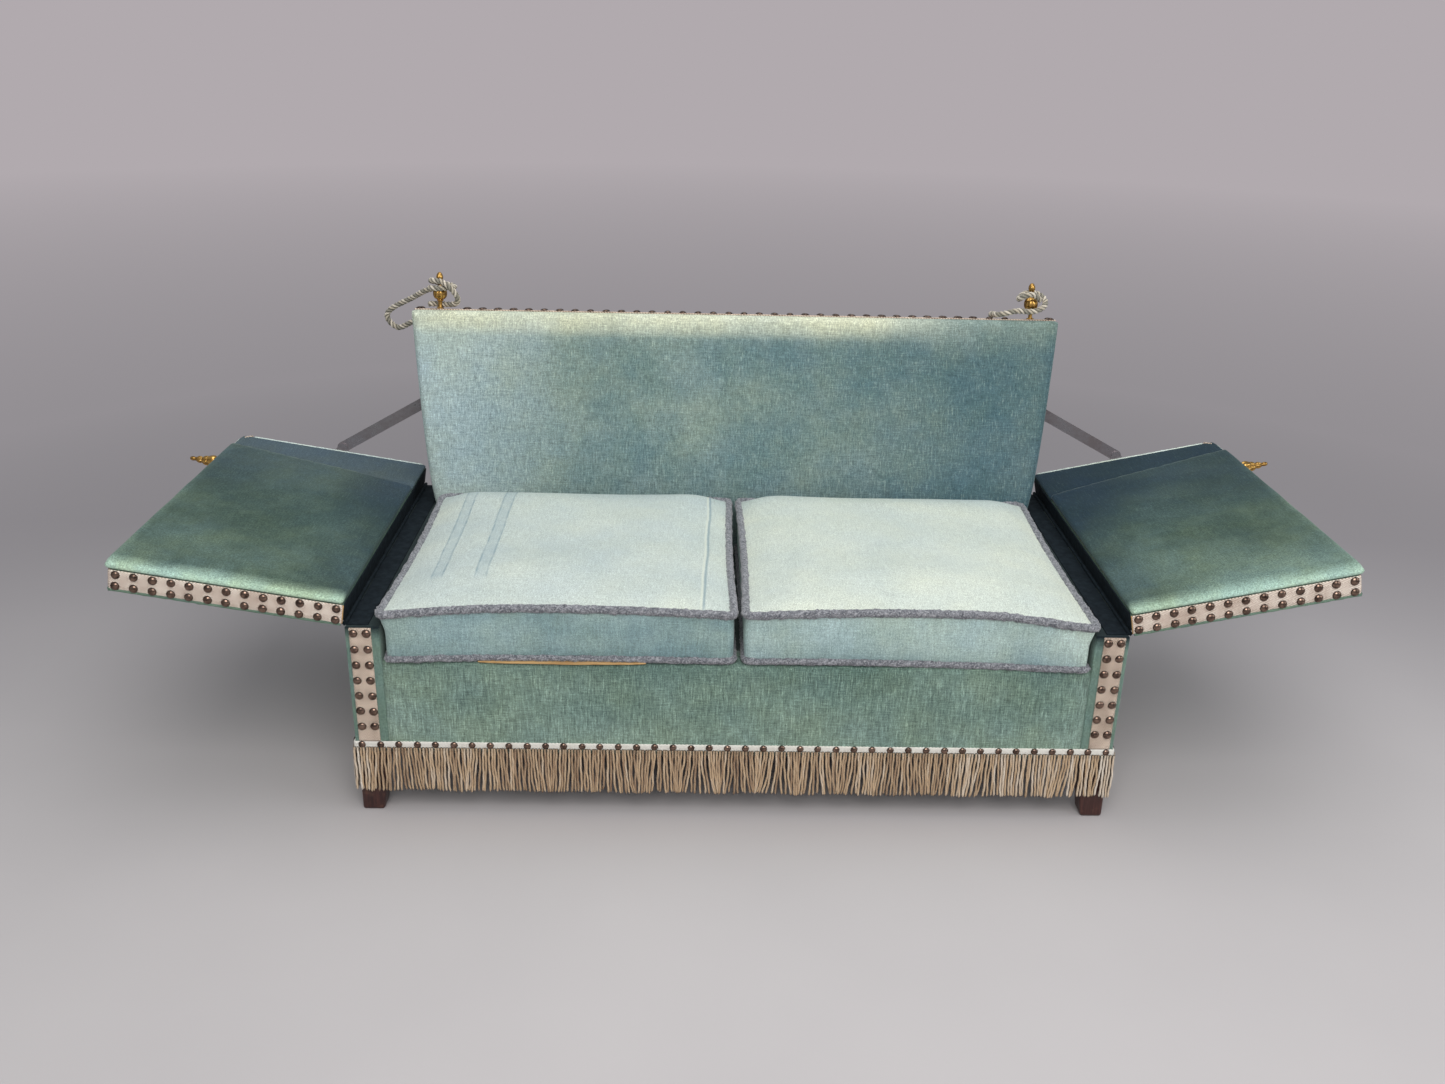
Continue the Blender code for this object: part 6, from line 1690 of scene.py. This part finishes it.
def seatCushion(side, sign):
    sag, turn, topPaleness, boxPaleness = cushionSides[side]
    xs, ys = [
        [planLow[a] + place for place in stops(planHigh[a] - planLow[a], planRadius, cushion["cell"])]
        for a in (0, 1)
    ]
    rows = cushion["boxRows"]
    points, faces, index = blockGrid(xs, ys, [lerp(seamLow, seamHigh, k / rows) for k in range(rows + 1)])
    held = [
        number for (i, j, k), number in index.items()
        if k in (0, rows) and (i in (0, len(xs) - 1) or j in (0, len(ys) - 1))
    ]
    start, flat = [], []
    for x, y, z in points:
        x, y = planCorner(x, y)
        flat.append((x, y, z))
        place = Vector(cushionWarp(x, y, z, sag))
        if z > seamHigh - cushion["margin"]:
            place.z += crownAt(x, y) * (1 + 0.10 * ripple(x * 2 + turn, y * 2))
        elif z < seamLow + cushion["margin"]:
            place.z -= 0.3 * crownAt(x, y)
        start.append(Vector((sign * place.x, place.y, place.z)))
    faces = flipped(faces) if sign < 0 else faces
    obj = addMesh(f"{side}SeatCushion", start, faces, sofaMatrix, cushionTones(flat, topPaleness, boxPaleness, turn))
    ended = blowUp(obj, held)
    for number, place in enumerate(flat):
        obj.data.vertices[number].co = blownPlace(place, start[number], ended[number], turn)
    top = leftTopVelvet if side == "left" else cushionVelvet
    dress(obj, top, f"{side}_cushion", "pale_velvet", f"{side}_cushion")
    obj.data.materials.append(boxingVelvet)
    for face in obj.data.polygons:
        levels = [flat[number][2] for number in face.vertices]
        if max(levels) - min(levels) > 0.001:
            face.material_index = 1
    smooth = obj.modifiers.new("smooth", "SUBSURF")
    smooth.levels = smooth.render_levels = 1
    for number, height in enumerate((seamLow, seamHigh)):
        path = seamPath(height, sag, sign)
        softPiping(f"{side}CushionPiping{number + 1}", path, cushion["cord"][number], f"{side}_cushion")


seatCushion("right", 1)
seatCushion("left", -1)

lining = {"low": (-0.575, -0.0050, 0.3852), "high": (-0.205, 0.030, 0.3890), "round": 0.0016, "cell": 0.03}


def liningStrip():  # a sliver of the cushion's inner cloth under its front piping
    low, high = lining["low"], lining["high"]
    points, faces = softBlock(low, high, lining["round"], lining["cell"])
    shaped = []
    for x, y, z in points:
        tuck = 0.007 * (1 - hump((x - low[0]) / (high[0] - low[0])) ** 0.6)
        shaped.append((x, y + tuck + 0.0012 * ripple(x * 9, 0.3), z + 0.0006 * ripple(x * 14, 0.9)))
    dress(addMesh("liningStrip", shaped, faces, sofaMatrix), linen, "left_cushion", "linen")


liningStrip()
print("cushions blown up and piped")


# Platform under the cushions, webbing, dust cover

def platform():
    low, high = [corner - Vector((middleX, frontY, 0.0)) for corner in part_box("seat_platform")]
    points, faces = softBlock(low, high, 0.012, 0.05)
    for point in points:
        if point.z > high.z - 0.001:
            point.z -= 0.0012 * (0.5 + 0.5 * ripple(point.x * 3, point.y * 3))
    obj = addMesh("seatPlatform", points, faces, sofaMatrix)
    dress(obj, deckCloth, "sofa", "linen", "seat_platform")


cover = {"rows": 26, "columns": 44, "sag": 0.009, "thickness": 0.0008}


def dustCover():
    low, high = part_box("dust_cover")
    upper, lower = [], []
    for row in range(cover["rows"]):
        for column in range(cover["columns"]):
            acrossShare, deepShare = column / (cover["columns"] - 1), row / (cover["rows"] - 1)
            x, y = lerp(low.x, high.x, acrossShare) - middleX, lerp(low.y, high.y, deepShare) - frontY
            sag = cover["sag"] * (hump(acrossShare) * hump(deepShare)) ** 0.6
            sag *= 1 + 0.12 * ripple(x * 2, y * 3)
            lower.append(Vector((x, y, high.z - cover["thickness"] - sag)))
            upper.append(Vector((x, y, high.z - sag)))
    faces = flipped(slabFaces(cover["rows"], cover["columns"]))
    obj = addMesh("dustCover", lower + upper, faces, sofaMatrix)
    dress(obj, blackCambric, "sofa", "dark_velvet", "dust_cover")


platform()
dustCover()


# Solids whose own shape is right keep it

kept = {
    "back_top_rail": beechAcross,
    "front_seat_rail": beechAcross,
    "rear_seat_rail": beechAcross,
    "seat_webbing": jute,
}
sideSolids = {
    "hinge_pin": shadedHinge, "hinge_wall_leaf": shadedHinge, "hinge_arm_leaf": shadedHinge,
    "stay_keeper": stayIron, "stay_bracket": stayIron, "stay_strap": stayIron,
    "seat_rail": beechLong, "hinge_rail": beechLong, "arm_frame": beechLong,
}
for side in ("left", "right"):
    kept[f"back_{side}_stile"] = beechUp
    for end in ("front", "rear"):
        kept[f"{end}_{side}_post"] = beechUp
        kept[f"{end}_{side}_foot"] = darkWood
    for part, material in sideSolids.items():
        kept[f"{side}_{part}"] = material
for name, material in kept.items():
    solid = frame["nodes"][name]
    for place in range(len(solid.data.materials)):
        solid.data.materials[place] = material
    if not solid.data.materials:
        solid.data.materials.append(material)
print("solids given their materials")


# Floor and light

# stage tones: 'rear' is a painted shadow on the floor behind the sofa; 'edge' is painted shade low on the
# glowing backdrop, which lightens to 'air' further away
stage = {
    "floor": shade(196, 191, 191), "rear": shade(154, 149, 152), "edge": shade(147, 143, 147),
    "air": shade(177, 170, 174), "sky": (0.368, 0.384, 0.40, 1.0),
    "radius": 22.0, "fadeStart": 1.9, "fadeEnd": 3.8, "airStart": 4.0, "airEnd": 13.0, "sides": 96,
}


def floorDisc():  # seen by the camera, the floor's far part turns into the colour behind it
    rings = (0.0, 0.8, 1.6, 2.4, 3.6, 6.0, 10.0, 15.0, stage["radius"])
    around = circle(stage["sides"])
    points = [(reach * math.cos(angle), reach * math.sin(angle), 0.0) for reach in rings for angle in around]
    obj = addMesh("floor", points, gridFaces(len(rings), len(around), closed=True))
    material, tree, shader = startMaterial("floorPaint", 0.8)
    place = objectPlace(tree)
    away = put(tree, "VectorMath", {0: place}, operation="LENGTH").outputs["Value"]
    patches = ranged(tree, clouds(tree, place, 1.3, 3.0), 0.3, 0.7, 0.0, 0.12)
    # painted shadow: the floor darkens towards the 'rear' tone behind the sofa
    behind = ranged(tree, put(tree, "SeparateXYZ", {0: place}).outputs[1], -0.5, 1.3)
    plain = mixed(tree, behind, stage["floor"], stage["rear"])
    tree.links.new(mixed(tree, patches, plain, stage["edge"]), shader.inputs["Base Color"])
    bump(tree, shader, clouds(tree, place, 60.0, 3.0), 0.1, 0.001)
    # the far floor glows for the camera as the backdrop, from the darker 'edge' tone near the sofa (painted
    # shade) to 'air' far off
    glow = put(tree, "Emission")
    distance = ranged(tree, away, stage["airStart"], stage["airEnd"])
    tree.links.new(mixed(tree, distance, stage["edge"], stage["air"]), glow.inputs["Color"])
    far = ranged(tree, away, stage["fadeStart"], stage["fadeEnd"])
    seen = times(tree, put(tree, "LightPath").outputs["Is Camera Ray"], far)
    both = put(tree, "MixShader", {0: seen, 1: shader.outputs[0], 2: glow.outputs[0]})
    tree.links.new(both.outputs[0], tree.nodes["Material Output"].inputs["Surface"])
    obj.data.materials.append(material)


floorDisc()

lights = (  # name, place, what it looks at, size, power and colour
    ("frontWindow", (0.1, -4.0, 4.0), (0.0, 0.0, 0.45), 3.6, 165.0, (1.0, 0.985, 0.97)),
    ("overhead", (0.2, 0.3, 3.6), (0.0, 0.1, 0.3), 3.0, 38.0, (0.98, 0.99, 1.0)),
    ("sideFill", (3.8, -1.6, 2.2), (0.0, 0.0, 0.4), 2.4, 30.0, (0.96, 0.98, 1.0)),
)
for name, place, aim, size, power, tint in lights:
    data = bpy.data.lights.new(name, "AREA")
    data.shape = "SQUARE"
    data.size = size
    data.energy = power
    data.color = tint
    lamp = bpy.data.objects.new(name, data)
    bpy.context.scene.collection.objects.link(lamp)
    toward = (Vector(aim) - Vector(place)).to_track_quat("-Z", "Y")
    lamp.matrix_world = Matrix.Translation(place) @ toward.to_matrix().to_4x4()

world = bpy.data.worlds.new("world")
world.use_nodes = True
sky = world.node_tree
seen = put(sky, "LightPath").outputs["Is Camera Ray"]
sky.links.new(mixed(sky, seen, stage["sky"], stage["air"]), sky.nodes["Background"].inputs["Color"])
bpy.context.scene.world = world
bpy.context.scene.view_settings.view_transform = "Standard"
